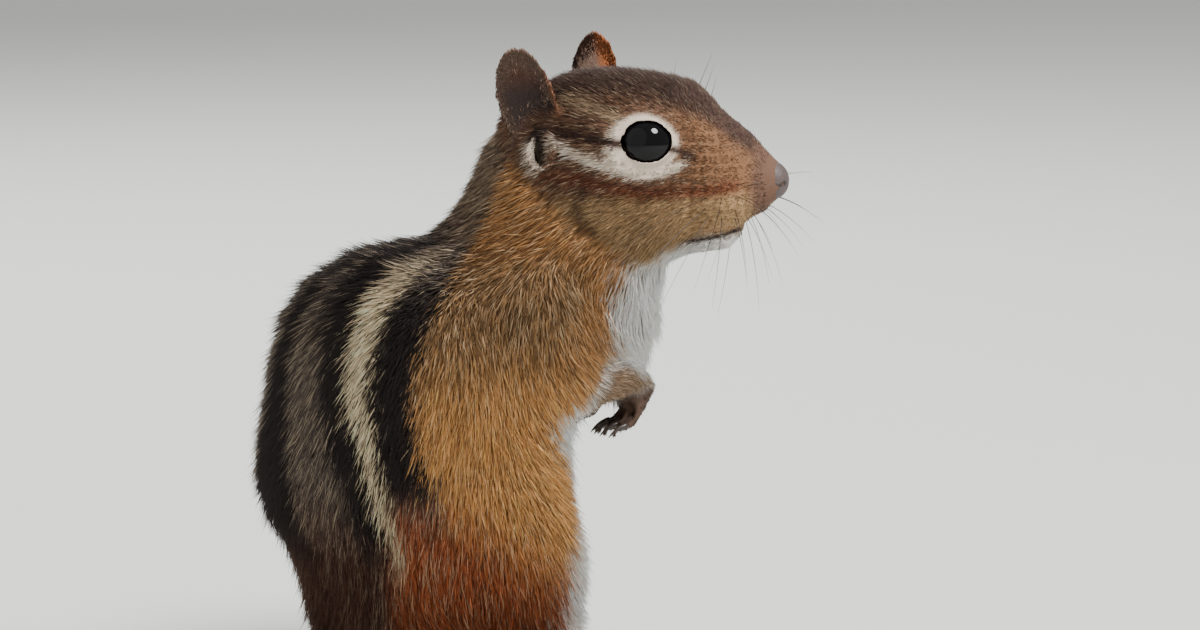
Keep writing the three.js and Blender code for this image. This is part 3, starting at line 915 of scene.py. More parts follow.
@dataclass
class Skin:
    """The one skin under the coat, from copies of the flesh nodes."""

    anatomy: Anatomy
    lengths: CoatLengths
    lie: LieOfCoat
    markings: Markings
    voxel: float = 0.55
    swell: float = 0.25  # outwards, so that the gaps between nodes close
    weld: float = 0.01
    smoothing: tuple = (0.5, 3)  # how strong it is on the whole skin, and its rounds
    trunk_smoothing: tuple = (0.6, 14)
    share_reach: float = 3.0  # how far from a part a point can be to belong to it
    share_rounds: int = 5
    mouth_deep: float = 0.55
    mouth_edge: tuple = (0.1, 1.0)
    mouth_from: tuple = (8.5, 11)
    digit_deep: float = 0.6
    fingers_below: tuple = (44.2, 45.4)
    toes_from: tuple = (16.5, 18.5)
    shade: float = 0.8  # of the coat's colours, under it
    island_angle: float = 66.0
    island_margin: float = 0.002
    obj: bpy.types.Object = None
    surface: Surface = None

    def build(self) -> None:
        """Builds the skin and dresses it."""
        mesh = self._remeshed(self._joined())
        surface = self._softened(mesh, self._surface(mesh))
        length = self.lengths.of(surface)
        inwards = self.swell + self.lengths.depth * length + self._mouth(surface) + self._paws(surface)
        moved = surface.points - surface.normals * inwards[:, None] * MM
        mesh.vertices.foreach_set("co", moved.ravel())
        mesh.update()
        self.surface = self._surface(mesh, surface.weights)
        no_noise = np.zeros(len(moved))
        paint(mesh, self.markings.colour(self.surface, self.anatomy, no_noise) * self.shade)
        self.obj = piece("skin", mesh, PaintedFinish("Skin under fur", 0.8, bump=0.12).material())
        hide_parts(*FLESH)
        self._unwrap()

    def _joined(self) -> bpy.types.Mesh:
        """Gathers the flesh: a copy of each node, a little swollen, and the tail's core for its nodes.

        Returns:
            One mesh of overlapping pieces.
        """
        bm = bmesh.new()
        for node in FLESH:
            if node in Part.TAIL.value:
                continue
            one = bmesh.new()
            one.from_mesh(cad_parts[node].data)
            bmesh.ops.remove_doubles(one, verts=one.verts, dist=self.weld * MM)
            one.normal_update()
            for vertex in one.verts:
                vertex.co += vertex.normal * self.swell * MM
            one.to_mesh(swollen := bpy.data.meshes.new(node))
            one.free()
            bm.from_mesh(swollen)
        bm.from_mesh(TailCore().build(self.anatomy))
        return mesh_of(bm, "flesh")

    def _remeshed(self, mesh: bpy.types.Mesh) -> bpy.types.Mesh:
        """Wraps a mesh in one even skin.

        Args:
            mesh: The flesh, in overlapping pieces.

        Returns:
            Its outer surface.
        """
        obj = bpy.data.objects.new("flesh", mesh)
        bpy.context.scene.collection.objects.link(obj)
        remesh = obj.modifiers.new("one surface", "REMESH")
        remesh.mode = "VOXEL"
        remesh.voxel_size = self.voxel * MM
        smooth = obj.modifiers.new("soften", "SMOOTH")
        smooth.factor, smooth.iterations = self.smoothing
        evaluated = obj.evaluated_get(bpy.context.evaluated_depsgraph_get())
        result = bpy.data.meshes.new_from_object(evaluated)
        bpy.data.objects.remove(obj)
        bm = bmesh.new()
        bm.from_mesh(result)
        self._keep_largest(bm)
        return mesh_of(bm, "skin")

    @staticmethod
    def _keep_largest(bm: bmesh.types.BMesh) -> None:
        """Deletes all but the largest connected surface.

        Args:
            bm: The bmesh, which is changed.
        """
        left, islands = set(bm.verts), []
        while left:
            island, edge = set(), [left.pop()]
            while edge:
                vertex = edge.pop()
                island.add(vertex)
                near = {e.other_vert(vertex) for e in vertex.link_edges} & left
                left -= near
                edge.extend(near)
            islands.append(island)
        islands.sort(key=len)
        bmesh.ops.delete(bm, geom=[v for island in islands[:-1] for v in island], context="VERTS")

    def _surface(self, mesh: bpy.types.Mesh, weights: np.ndarray = None) -> Surface:
        """Reads a mesh's vertices.

        Args:
            mesh: The mesh.
            weights: Each vertex's share of each part, where it is known.

        Returns:
            The vertices as a surface.
        """
        count = len(mesh.vertices)
        points, normals = np.empty(count * 3), np.empty(count * 3)
        mesh.vertices.foreach_get("co", points)
        mesh.vertex_normals.foreach_get("vector", normals)
        points, normals = points.reshape(-1, 3), normals.reshape(-1, 3)
        if weights is None:
            weights = self._shares(mesh, points)
        return Surface(points, normals, weights).locate(self.anatomy)

    def _shares(self, mesh: bpy.types.Mesh, points: np.ndarray) -> np.ndarray:
        """Finds each vertex's part, and softens the borders.

        Args:
            mesh: The skin.
            points: Its vertices.

        Returns:
            How much each vertex belongs to each part.
        """
        far = np.full((len(points), len(PARTS)), 1.0)
        for column, part in enumerate(PARTS):
            for node in part.value:
                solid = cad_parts[node].data
                faces = [face.vertices for face in solid.polygons]
                tree = BVHTree.FromPolygons([vertex.co for vertex in solid.vertices], faces)
                for row, point in enumerate(points):
                    distance = tree.find_nearest(point, self.share_reach * MM)[3]
                    if distance is not None:
                        far[row, column] = min(far[row, column], distance)
        weights = np.zeros_like(far)
        weights[np.arange(len(points)), far.argmin(axis=1)] = 1
        a, b = edge_ends(mesh)
        for _ in range(self.share_rounds):
            total, count = weights.copy(), np.ones(len(points))
            np.add.at(total, a, weights[b])
            np.add.at(total, b, weights[a])
            np.add.at(count, a, 1)
            np.add.at(count, b, 1)
            weights = total / count[:, None]
        return weights

    def _softened(self, mesh: bpy.types.Mesh, s: Surface) -> Surface:
        """Smooths out the seams of trunk and thighs.

        Args:
            mesh: The skin, which is changed.
            s: Its vertices.

        Returns:
            The smoothed vertices.
        """
        a, b = edge_ends(mesh)
        degree = np.bincount(np.concatenate([a, b]), minlength=len(s.points))[:, None]
        trunk = s.share(Part.TORSO) + s.share(Part.THIGH) + s.share(Part.UPPER_ARM) + s.share(Part.NECK)
        points = s.points.copy()
        strength, rounds = self.trunk_smoothing
        for _ in range(rounds):
            total = np.zeros_like(points)
            np.add.at(total, a, points[b])
            np.add.at(total, b, points[a])
            points += (total / degree - points) * strength * np.clip(trunk, 0, 1)[:, None]
        mesh.vertices.foreach_set("co", points.ravel())
        mesh.update()
        return self._surface(mesh, s.weights)

    def _paws(self, s: Surface) -> np.ndarray:
        """Works out the grooves between fingers and toes.

        Args:
            s: The skin's vertices.

        Returns:
            How deep the grooves are at each, in millimetres.
        """
        low = 1 - smooth_step(*self.fingers_below, s.trunk[:, 2])
        fingers = FINGERS.gaps(s.trunk) * s.share(Part.FOREPAW) * low
        toes = TOES.gaps(s.trunk) * s.share(Part.FOOT) * smooth_step(*self.toes_from, s.trunk[:, 0])
        return self.digit_deep * (fingers + toes)

    def _mouth(self, s: Surface) -> np.ndarray:
        """Works out the line of the mouth.

        Args:
            s: The skin's vertices.

        Returns:
            How deep the line is at each, in millimetres.
        """
        forward, away = s.head[:, 0], np.abs(s.head[:, 2] - FACE.mouth_line(s.head[:, 0]))
        groove = 1 - smooth_step(*self.mouth_edge, away)
        return self.mouth_deep * groove * smooth_step(*self.mouth_from, forward) * s.share(Part.HEAD)

    def _unwrap(self) -> None:
        """Gives the skin a map of its own shape."""
        self.obj.data.uv_layers.new(name=UV_MAP)
        bpy.context.view_layer.objects.active = self.obj
        self.obj.select_set(True)
        bpy.ops.object.mode_set(mode="EDIT")
        bpy.ops.mesh.select_all(action="SELECT")
        widest = math.radians(self.island_angle)
        bpy.ops.uv.smart_project(angle_limit=widest, island_margin=self.island_margin)
        bpy.ops.object.mode_set(mode="OBJECT")


def paint(mesh: bpy.types.Mesh, colours: np.ndarray) -> None:
    """Stores colours in a mesh's colour attribute.

    Args:
        mesh: The mesh.
        colours: A linear colour for each vertex.
    """
    layer = mesh.color_attributes.new(COLOUR, "FLOAT_COLOR", "POINT")
    rgba = np.ones((len(mesh.vertices), 4), np.float32)
    rgba[:, :3] = colours
    layer.data.foreach_set("color", rgba.ravel())


@dataclass
class Tufts:
    """Tufts to be made: where each starts, how it runs and its colours from root to tip."""

    roots: np.ndarray
    normals: np.ndarray
    lies: np.ndarray
    lengths: np.ndarray
    widths: np.ndarray
    colours: np.ndarray  # one for each ring and the tip
    maps: np.ndarray
    lifts: tuple  # degrees off the skin at the root and at the tip
    sway: np.ndarray  # how each one bends aside


class TuftMaker:
    """Turns tufts into closed three-sided meshes that bend and taper, joined into pieces."""

    taper = (1.0, 0.78)  # of the width, from the first ring to the last
    flat = 0.5  # thickness over width
    sunk = 0.25
    lowest = 0.05  # above the floor
    patch = 0.003  # of the skin's map, for one tuft

    def __init__(self, rings: int) -> None:
        """Works out the faces of one tuft.

        Args:
            rings: How many rings of three corners it has below its tip.
        """
        self.rings = rings
        corners = np.arange(3)
        after = (corners + 1) % 3
        faces = [[2, 1, 0]]
        for ring in range(rings - 1):
            low, high = 3 * ring, 3 * ring + 3
            faces += [[low + a, low + b, high + b] for a, b in zip(corners, after)]
            faces += [[low + a, high + b, high + a] for a, b in zip(corners, after)]
        last = 3 * (rings - 1)
        faces += [[last + a, last + b, 3 * rings] for a, b in zip(corners, after)]
        self.faces = np.array(faces)
        self.size = 3 * rings + 1

    def corners(self, t: Tufts) -> np.ndarray:
        """Works out the corners of every tuft.

        Args:
            t: The tufts.

        Returns:
            The corners in metres, ring by ring from the root, and last the tip.
        """
        side = unit(np.cross(t.lies, t.normals))
        spots = [t.roots - t.normals * self.sunk * MM]
        lifts = np.linspace(*t.lifts, self.rings) if self.rings > 1 else [np.mean(t.lifts)]
        for step, slope in enumerate(np.radians(lifts)):
            heading = t.lies * math.cos(slope) + t.normals * math.sin(slope)
            heading = heading + t.sway * (step + 1) / self.rings
            spots.append(spots[-1] + unit(heading) * (t.lengths / self.rings)[:, None] * MM)
        made = []
        for spot, width in zip(spots, np.linspace(*self.taper, self.rings)):
            half = (t.widths * width / 2)[:, None] * MM
            made += [spot - side * half, spot + side * half, spot + t.normals * half * 2 * self.flat]
        made.append(spots[-1])
        corners = np.stack(made, axis=1)
        corners[:, :, 2] = np.maximum(corners[:, :, 2], self.lowest * MM)
        return corners

    def build(self, name: str, t: Tufts, slot: str, material: bpy.types.Material) -> None:
        """Makes the pieces of coat that hold the tufts.

        Args:
            name: The pieces' name, to which each one's number is added.
            t: The tufts.
            slot: Not used.
            material: Their finish.
        """
        corners = self.corners(t)
        per_piece = MOST_TRIANGLES // len(self.faces)
        count = math.ceil(len(corners) / per_piece)
        for number, rows in enumerate(np.array_split(np.arange(len(corners)), count)):
            mesh = self._mesh(corners[rows], f"{name}_{number + 1:02d}")
            ring_colours = np.repeat(t.colours[rows, :-1], 3, axis=1)
            tuft_colours = np.concatenate([ring_colours, t.colours[rows, -1:]], axis=1)
            paint(mesh, tuft_colours.reshape(-1, 3))
            self._map(mesh, t.maps[rows])
            piece(mesh.name, mesh, material)

    def _mesh(self, corners: np.ndarray, name: str) -> bpy.types.Mesh:
        """Joins tufts into one mesh.

        Args:
            corners: The corners of each tuft.
            name: The mesh's name.

        Returns:
            The mesh.
        """
        mesh = bpy.data.meshes.new(name)
        faces = (self.faces[None] + self.size * np.arange(len(corners))[:, None, None]).reshape(-1, 3)
        mesh.vertices.add(corners.shape[0] * self.size)
        mesh.vertices.foreach_set("co", corners.ravel())
        mesh.loops.add(faces.size)
        mesh.loops.foreach_set("vertex_index", faces.ravel())
        mesh.polygons.add(len(faces))
        mesh.polygons.foreach_set("loop_start", np.arange(0, faces.size, 3))
        mesh.update(calc_edges=True)
        return mesh

    def _map(self, mesh: bpy.types.Mesh, places: np.ndarray) -> None:
        """Maps each tuft to a small patch.

        Args:
            mesh: The joined tufts.
            places: The places of their roots on the skin's map.
        """
        local = np.zeros((self.size, 2))
        for ring in range(self.rings):
            local[3 * ring : 3 * ring + 3, 0] = (-0.5, 0.5, 0)
            local[3 * ring : 3 * ring + 3, 1] = ring / self.rings - 0.5
        local[-1] = (0, 0.5)
        spots = (places[:, None] + local[None] * self.patch).reshape(-1, 2)
        corner = np.empty(len(mesh.loops), int)
        mesh.loops.foreach_get("vertex_index", corner)
        mesh.uv_layers.new(name=UV_MAP).uv.foreach_set("vector", spots[corner].ravel())


@dataclass
class Coat:
    """The short coat over head, body and limbs."""

    anatomy: Anatomy
    skin: Skin
    tufts: int = 300_000
    width: float = 0.34
    thinnest: float = 0.6  # of the width, where the hair is short
    full_width_at: float = 3.0  # the length of hair from which tufts have their full width
    vary_width: tuple = (0.75, 1.25)
    vary_length: tuple = (0.7, 1.2)
    clump: float = 1.5  # millimetres between the places that tufts lean towards
    lean: float = 0.32
    sway: float = 0.13
    lifts: tuple = (30, 14)
    usual_length: float = 3.2  # the length of hair at which tufts stand as close as their mean
    closeness: tuple = (0.75, 2.6)  # the least and the most
    eye_margin: float = 0.55
    nose_height: float = 1.15  # of the bare pad, over its width
    nose_reach: float = 3.05
    mouth_margin: float = 0.3
    off_floor: float = 0.6
    dark_share: tuple = (0.22, 0.2)  # of the tufts low on the body, and how much more above
    dark_heights: tuple = (46, 60)
    dark_over: tuple = (0.02, 0.08)  # of brightness
    dark_under: tuple = (0.4, 0.55)
    dark_strength: float = 0.72
    pale_share: tuple = (0.8, 0.1)  # what a draw must pass on the body, and how much more on the head
    pale_over: tuple = (0.03, 0.06)
    pale_under: tuple = (0.3, 0.5)
    pale_strength: float = 0.42
    tone: float = 0.2  # how much tufts differ in lightness
    root_shade: float = 0.5
    tip_light: float = 1.25
    brightest: float = 0.95

    def build(self) -> None:
        """Sows the tufts over the skin and makes them."""
        rng = np.random.default_rng(SEED)
        s, maps, lies = self._sow(rng)
        keep = self._wanted(s)
        s = Surface(s.points[keep], s.normals[keep], s.weights[keep]).locate(self.anatomy)
        maps, lies = maps[keep], lies[keep]
        length = self.skin.lengths.of(s)
        count = len(length)
        noise = rng.normal(0, 1, count)
        sway = rng.normal(0, self.sway, (count, 3)) + self._towards_clumps(s, length)
        colours = self._colours(s, rng, noise)
        widths = self.width * np.clip(length / self.full_width_at, self.thinnest, 1)
        widths = widths * rng.uniform(*self.vary_width, count)
        grown = length * rng.uniform(*self.vary_length, count)
        made = Tufts(s.points, s.normals, lies, grown, widths, colours, maps, self.lifts, sway)
        TuftMaker(rings=1).build("coat", made, "fur", PaintedFinish("Fur").material())

    def _sow(self, rng: np.random.Generator) -> tuple[Surface, np.ndarray, np.ndarray]:
        """Spreads roots over the skin, closer where the hair is short.

        Args:
            rng: The seeded random numbers.

        Returns:
            The roots, their places on the skin's map and the lie of the coat there.
        """
        mesh, skin = self.skin.obj.data, self.skin.surface
        mesh.calc_loop_triangles()
        count = len(mesh.loop_triangles)
        corners, loops = np.empty(count * 3, int), np.empty(count * 3, int)
        mesh.loop_triangles.foreach_get("vertices", corners)
        mesh.loop_triangles.foreach_get("loops", loops)
        corners, loops = corners.reshape(-1, 3), loops.reshape(-1, 3)
        a, b, c = (skin.points[corners[:, k]] for k in range(3))
        area = np.linalg.norm(np.cross(b - a, c - a), axis=1) / 2
        length = self.skin.lengths.of(skin)[corners].mean(axis=1)
        tail = skin.share(Part.TAIL)[corners].mean(axis=1)
        chance = area * np.clip(self.usual_length / length, *self.closeness) * (1 - np.clip(tail, 0, 1))
        total = np.cumsum(chance / chance.sum())
        steps = (np.arange(self.tufts) + rng.uniform(0, 1, self.tufts)) / self.tufts
        chosen = np.minimum(np.searchsorted(total, steps), count - 1)
        r1, r2 = np.sqrt(rng.uniform(0, 1, self.tufts)), rng.uniform(0, 1, self.tufts)
        shares = np.stack([1 - r1, r1 * (1 - r2), r1 * r2], axis=1)[:, :, None]
        of_skin = (skin.points, skin.normals, skin.weights)
        points, normals, weights = ((values[corners[chosen]] * shares).sum(axis=1) for values in of_skin)
        s = Surface(points, unit(normals), weights).locate(self.anatomy)
        maps = (skin_map(mesh)[loops[chosen]] * shares).sum(axis=1)
        return s, maps, self.skin.lie.at(s, self.anatomy)

    def _wanted(self, s: Surface) -> np.ndarray:
        """Chooses the roots to keep: none on the eyes, the nose's bare pad, the lips or the floor.

        Args:
            s: The roots.

        Returns:
            Whether each one is kept.
        """
        forward, up = s.head[:, 0], s.head[:, 2]
        from_eye = on_left(s.head) - np.array(FACE.eye)
        off_eye = np.linalg.norm(from_eye, axis=1) > FACE.eye_radius + self.eye_margin
        from_nose = (s.head - np.array(FACE.nose)) / [1, 1, self.nose_height]
        off_nose = np.linalg.norm(from_nose, axis=1) > self.nose_reach
        off_mouth = np.abs(up - FACE.mouth_line(forward)) > self.mouth_margin
        off_mouth |= forward < FACE.mouth_back + 1
        return off_eye & off_nose & off_mouth & (s.trunk[:, 2] > self.off_floor)

    def _towards_clumps(self, s: Surface, length: np.ndarray) -> np.ndarray:
        """Finds the places where tips gather.

        Args:
            s: The roots.
            length: The length of hair at each.

        Returns:
            How far each tuft leans towards the nearest such place.
        """
        cells = np.floor(s.points / (self.clump * MM)).astype(int)
        tree = nearest_to(s.points, np.unique(cells, axis=0, return_index=True)[1])
        near = np.array([tree.find(p)[1] for p in s.points])
        towards = (s.points[near] - s.points) / (np.maximum(length, 1.0)[:, None] * MM)
        return towards * self.lean

    def _colours(self, s: Surface, rng: np.random.Generator, noise: np.ndarray) -> np.ndarray:
        """Colours the tufts, with some of them dark and some pale, as ticked hair is.

        Args:
            s: The roots.
            rng: The seeded random numbers.
            noise: A soft random number for each root.

        Returns:
            Each tuft's linear colours at its root and its tip.
        """
        count = len(noise)
        base = self.skin.markings.colour(s, self.anatomy, noise)
        bright = base.mean(axis=1)
        draw = rng.uniform(0, 1, count)
        ticked = np.clip(1 - s.share(Part.EAR) - s.share(Part.FOREPAW) - s.share(Part.FOOT), 0, 1)
        least, more = self.dark_share
        dark = (draw < least + more * smooth_step(*self.dark_heights, s.trunk[:, 2])) * ticked
        dark = dark * smooth_step(*self.dark_over, bright) * (1 - smooth_step(*self.dark_under, bright))
        least, more = self.pale_share
        pale = (draw > least + more * s.share(Part.HEAD)) * ticked
        pale = pale * smooth_step(*self.pale_over, bright) * (1 - smooth_step(*self.pale_under, bright))
        tip = base * np.exp(rng.normal(0, self.tone, count))[:, None]
        tip = mix(tip, linear(*PALETTE.black), self.dark_strength * dark)
        tip = mix(tip, linear(*PALETTE.cream), self.pale_strength * pale)
        return np.stack([base * self.root_shade, np.clip(tip * self.tip_light, 0, self.brightest)], axis=1)


@dataclass
class TailCoat:
    """The long hair of the tail: rusty at the root, black in the middle and grey at the tip."""

    anatomy: Anatomy
    skin: Skin
    hairs: int = 9000
    steps: int = 400  # along the core
    first: float = 0.04  # where the hair begins, as a share of the tail
    gather: float = 0.92  # a little more hair towards the tip
    around: tuple = (-0.25 * math.pi, 1.25 * math.pi)  # none under the tail
    depth: float = 0.9  # of the core's radius, at the roots
    lengths: tuple = ((0, 0.25, 1), (6.0, 8.5, 13.5))  # places along the tail, and the lengths there
    vary_length: tuple = (0.7, 1.1)
    lifts: tuple = (30, 8)
    sway: float = 0.16
    curl: float = 0.8
    width: float = 0.34
    vary_width: tuple = (0.7, 1.2)
    root: tuple = (142, 90, 50)
    middle: tuple = (52, 42, 36)
    tip: tuple = (196, 188, 176)
    tone: float = 0.18
    brightest: float = 0.9
    on_tail: float = 0.2  # the share of the tail from which a vertex of the skin counts as on it

    def build(self) -> None:
        """Grows the hair along the tail's core."""
        rng = np.random.default_rng(SEED + 1)
        curve, radii = TailCore().points(self.steps)
        places = rng.uniform(self.first, 1, self.hairs) ** self.gather
        row = np.minimum((places * (self.steps - 1)).astype(int), self.steps - 1)
        along = unit(np.gradient(curve, axis=0))[row]
        out = unit(np.cross(along, [0, 0, 1.0]))
        up = np.cross(out, along)
        angle = rng.uniform(*self.around, self.hairs)
        normal = out * np.cos(angle)[:, None] + up * np.sin(angle)[:, None]
        roots = curve[row] + normal * radii[row][:, None] * self.depth
        length = np.interp(places, *self.lengths) * rng.uniform(*self.vary_length, self.hairs)
        sway = rng.normal(0, self.sway, (self.hairs, 3)) + self._bend(curve, row, length)
        vary = np.exp(rng.normal(0, self.tone, self.hairs))[:, None, None]
        steps = np.array([linear(*c) for c in (self.root, self.middle, self.middle, self.tip)])
        colours = np.clip(np.tile(steps[None], (self.hairs, 1, 1)) * vary, 0, self.brightest)
        widths = self.width * rng.uniform(*self.vary_width, self.hairs)
        metres = (roots + np.array(self.anatomy.trunk.translation) / MM) * MM
        made = Tufts(metres, normal, along, length, widths, colours, self._maps(metres), self.lifts, sway)
        TuftMaker(rings=3).build("tail_coat", made, "tail_fur", PaintedFinish("Tail fur").material())

    def _bend(self, curve: np.ndarray, row: np.ndarray, length: np.ndarray) -> np.ndarray:
        """Works out how each hair turns to follow the tail's curl.

        Args:
            curve: Places along the tail's core.
            row: The number of the place where each hair grows.
            length: Each hair's length.

        Returns:
            How far each one turns aside.
        """
        spacing = np.linalg.norm(np.diff(curve, axis=0), axis=1).mean()
        ahead = np.minimum(row + (length / spacing * self.curl).astype(int), len(curve) - 1)
        along = unit(np.gradient(curve, axis=0))
        return (along[ahead] - along[row]) * self.curl

    def _maps(self, roots: np.ndarray) -> np.ndarray:
        """Finds the roots on the skin's map.

        Args:
            roots: Their places, in metres.

        Returns:
            The place on the map of the skin's vertex nearest to each.
        """
        mesh, skin = self.skin.obj.data, self.skin.surface
        tree = nearest_to(skin.points, np.flatnonzero(skin.share(Part.TAIL) > self.on_tail))
        corner = np.empty(len(mesh.loops), int)
        mesh.loops.foreach_get("vertex_index", corner)
        of_vertex = np.zeros((len(mesh.vertices), 2))
        of_vertex[corner] = skin_map(mesh)
        return of_vertex[[tree.find(p)[1] for p in roots]]


@dataclass
class Eye:
    """One eyeball with the dark rim of its lids."""

    anatomy: Anatomy
    side: int  # 1 for the left, -1 for the right
    half_length: float = 4.55
    half_height: float = 3.65
    corner: tuple = (0.12, 6)  # how far and how sharply the rim is drawn out at its corners
    narrow: tuple = (0.22, 3)  # how much and how soon it narrows towards them
    rim: float = 3.6  # how high it stands, over the height of its section
    section: float = 0.1
    section_sides: int = 8
    stand: float = 0.1
    steps: int = 56
    ball: tuple = (56, 36)  # faces round the eyeball and over it
    least_rise: float = 0.2

    def build(self) -> None:
        """Makes the ball and the rim."""
        name = "left" if self.side > 0 else "right"
        place = Vector((FACE.eye[0], FACE.eye[1] * self.side, FACE.eye[2]))
        ball = bmesh.new()
        around, over = self.ball
        bmesh.ops.create_uvsphere(ball, u_segments=around, v_segments=over, radius=FACE.eye_radius * MM)
        bmesh.ops.translate(ball, verts=ball.verts, vec=self.anatomy.from_head(place))
        shine = PlainFinish(f"Eye {name}", (7, 6, 8), 0.05, specular=0.22).material()
        obj = piece(f"eyeball_{name}", mesh_of(ball, f"eyeball_{name}"), shine)
        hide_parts(f"eye_{name}")
        skin = PlainFinish(f"Lid rim {name}", (38, 27, 22), 0.5).material()
        piece(f"lid_rim_{name}", self._rim(place), skin)

    def _rim(self, centre: Vector) -> bpy.types.Mesh:
        """Shapes the lids' edge: a ring pulled long and laid on the ball.

        Args:
            centre: The middle of the eye, in the head's frame.

        Returns:
            The ring, in metres.
        """
        bm = bmesh.new()
        section = bmesh.ops.create_circle(bm, segments=self.section_sides, radius=self.section)["verts"]
        bmesh.ops.rotate(bm, verts=section, matrix=Matrix.Rotation(math.pi / 2, 3, "X"))
        bmesh.ops.translate(bm, verts=section, vec=(1, 0, 0))
        bmesh.ops.spin(
            bm, geom=list(bm.verts) + list(bm.edges), axis=(0, 0, 1), cent=(0, 0, 0), steps=self.steps,
            angle=2 * math.pi, use_merge=True,
        )
        bmesh.ops.remove_doubles(bm, verts=bm.verts, dist=1e-5)
        ahead, aside, above = FACE.eye_faces
        facing = Vector((ahead, aside * self.side, above)).normalized()
        long = (Vector((1, 0, 0)) - facing * facing.x).normalized()
        high = long.cross(facing) * self.side
        for vertex in bm.verts:
            u, v, rise = self._on_ball(*vertex.co)
            vertex.co = self.anatomy.from_head(centre + long * u + high * v + facing * rise)
        bmesh.ops.recalc_face_normals(bm, faces=bm.faces)
        return mesh_of(bm, "lid_rim")

    def _on_ball(self, x: float, y: float, z: float) -> tuple[float, float, float]:
        """Works out where a point of the round ring goes.

        Args:
            x, y, z: The point, on a ring of radius 1.

        Returns:
            How far it goes along the eye, up it and out from its middle, in millimetres.
        """
        (drawn, sharp), (narrowed, soon) = self.corner, self.narrow
        u = x * self.half_length * (1 + drawn * abs(x) ** sharp)
        v = y * self.half_height * (1 - narrowed * abs(x) ** soon)
        reach = FACE.eye_radius + self.stand
        return u, v, math.sqrt(max(reach**2 - u * u - v * v, self.least_rise)) + z * self.rim


@dataclass
class Nose:
    """The bare pad at the end of the nose, with its two nostrils."""

    anatomy: Anatomy
    radii: tuple = (3.0, 2.6, 3.1)
    nostril: tuple = ((2.4, 0.9, -0.4), (0.7, 2.3, -1.2))  # from its inner to its outer end
    nostril_edge: tuple = (0.15, 0.75)
    deep: float = 0.8
    cleft_edge: tuple = (0.05, 0.3)
    cleft_below: tuple = (-1.2, -0.2)
    cleft_deep: float = 0.3
    rounds: int = 5  # of dividing the ball's faces
    pad: tuple = (84, 72, 70)
    # painted shade in the nostrils, and how strongly it is laid on
    nostril_shade: tuple = (16, 11, 10)
    nostril_shade_strength: float = 1.5

    def build(self) -> None:
        """Makes the pad: a ball with two hollows and a cleft pressed into it, with painted shade in the
        hollows.
        """
        bm = bmesh.new()
        bmesh.ops.create_icosphere(bm, subdivisions=self.rounds, radius=1)
        places = np.array([v.co for v in bm.verts]) * self.radii
        inner, outer = (np.array(end) for end in self.nostril)
        away, line = on_left(places) - inner, outer - inner
        share = np.clip((away @ line) / (line**2).sum(), 0, 1)
        hollow = 1 - smooth_step(*self.nostril_edge, np.linalg.norm(away - share[:, None] * line, axis=1))
        cleft = 1 - smooth_step(*self.cleft_edge, np.abs(places[:, 1]))
        cleft = cleft * (1 - smooth_step(*self.cleft_below, places[:, 2])) * self.cleft_deep
        depth = 1 - (self.deep * hollow + cleft) / self.radii[0]
        for vertex, place in zip(bm.verts, places * depth[:, None]):
            vertex.co = self.anatomy.from_head(Vector(place) + Vector(FACE.nose))
        mesh = mesh_of(bm, "nose_pad")
        # paints shade into the nostrils
        paint(mesh, layered(self.pad, (self.nostril_shade, np.clip(hollow * self.nostril_shade_strength, 0, 1))))
        finish = PaintedFinish("Nose leather", 0.5, 0.35, bump=0.1, grain=2200).material()
        piece("nose_pad", mesh, finish)


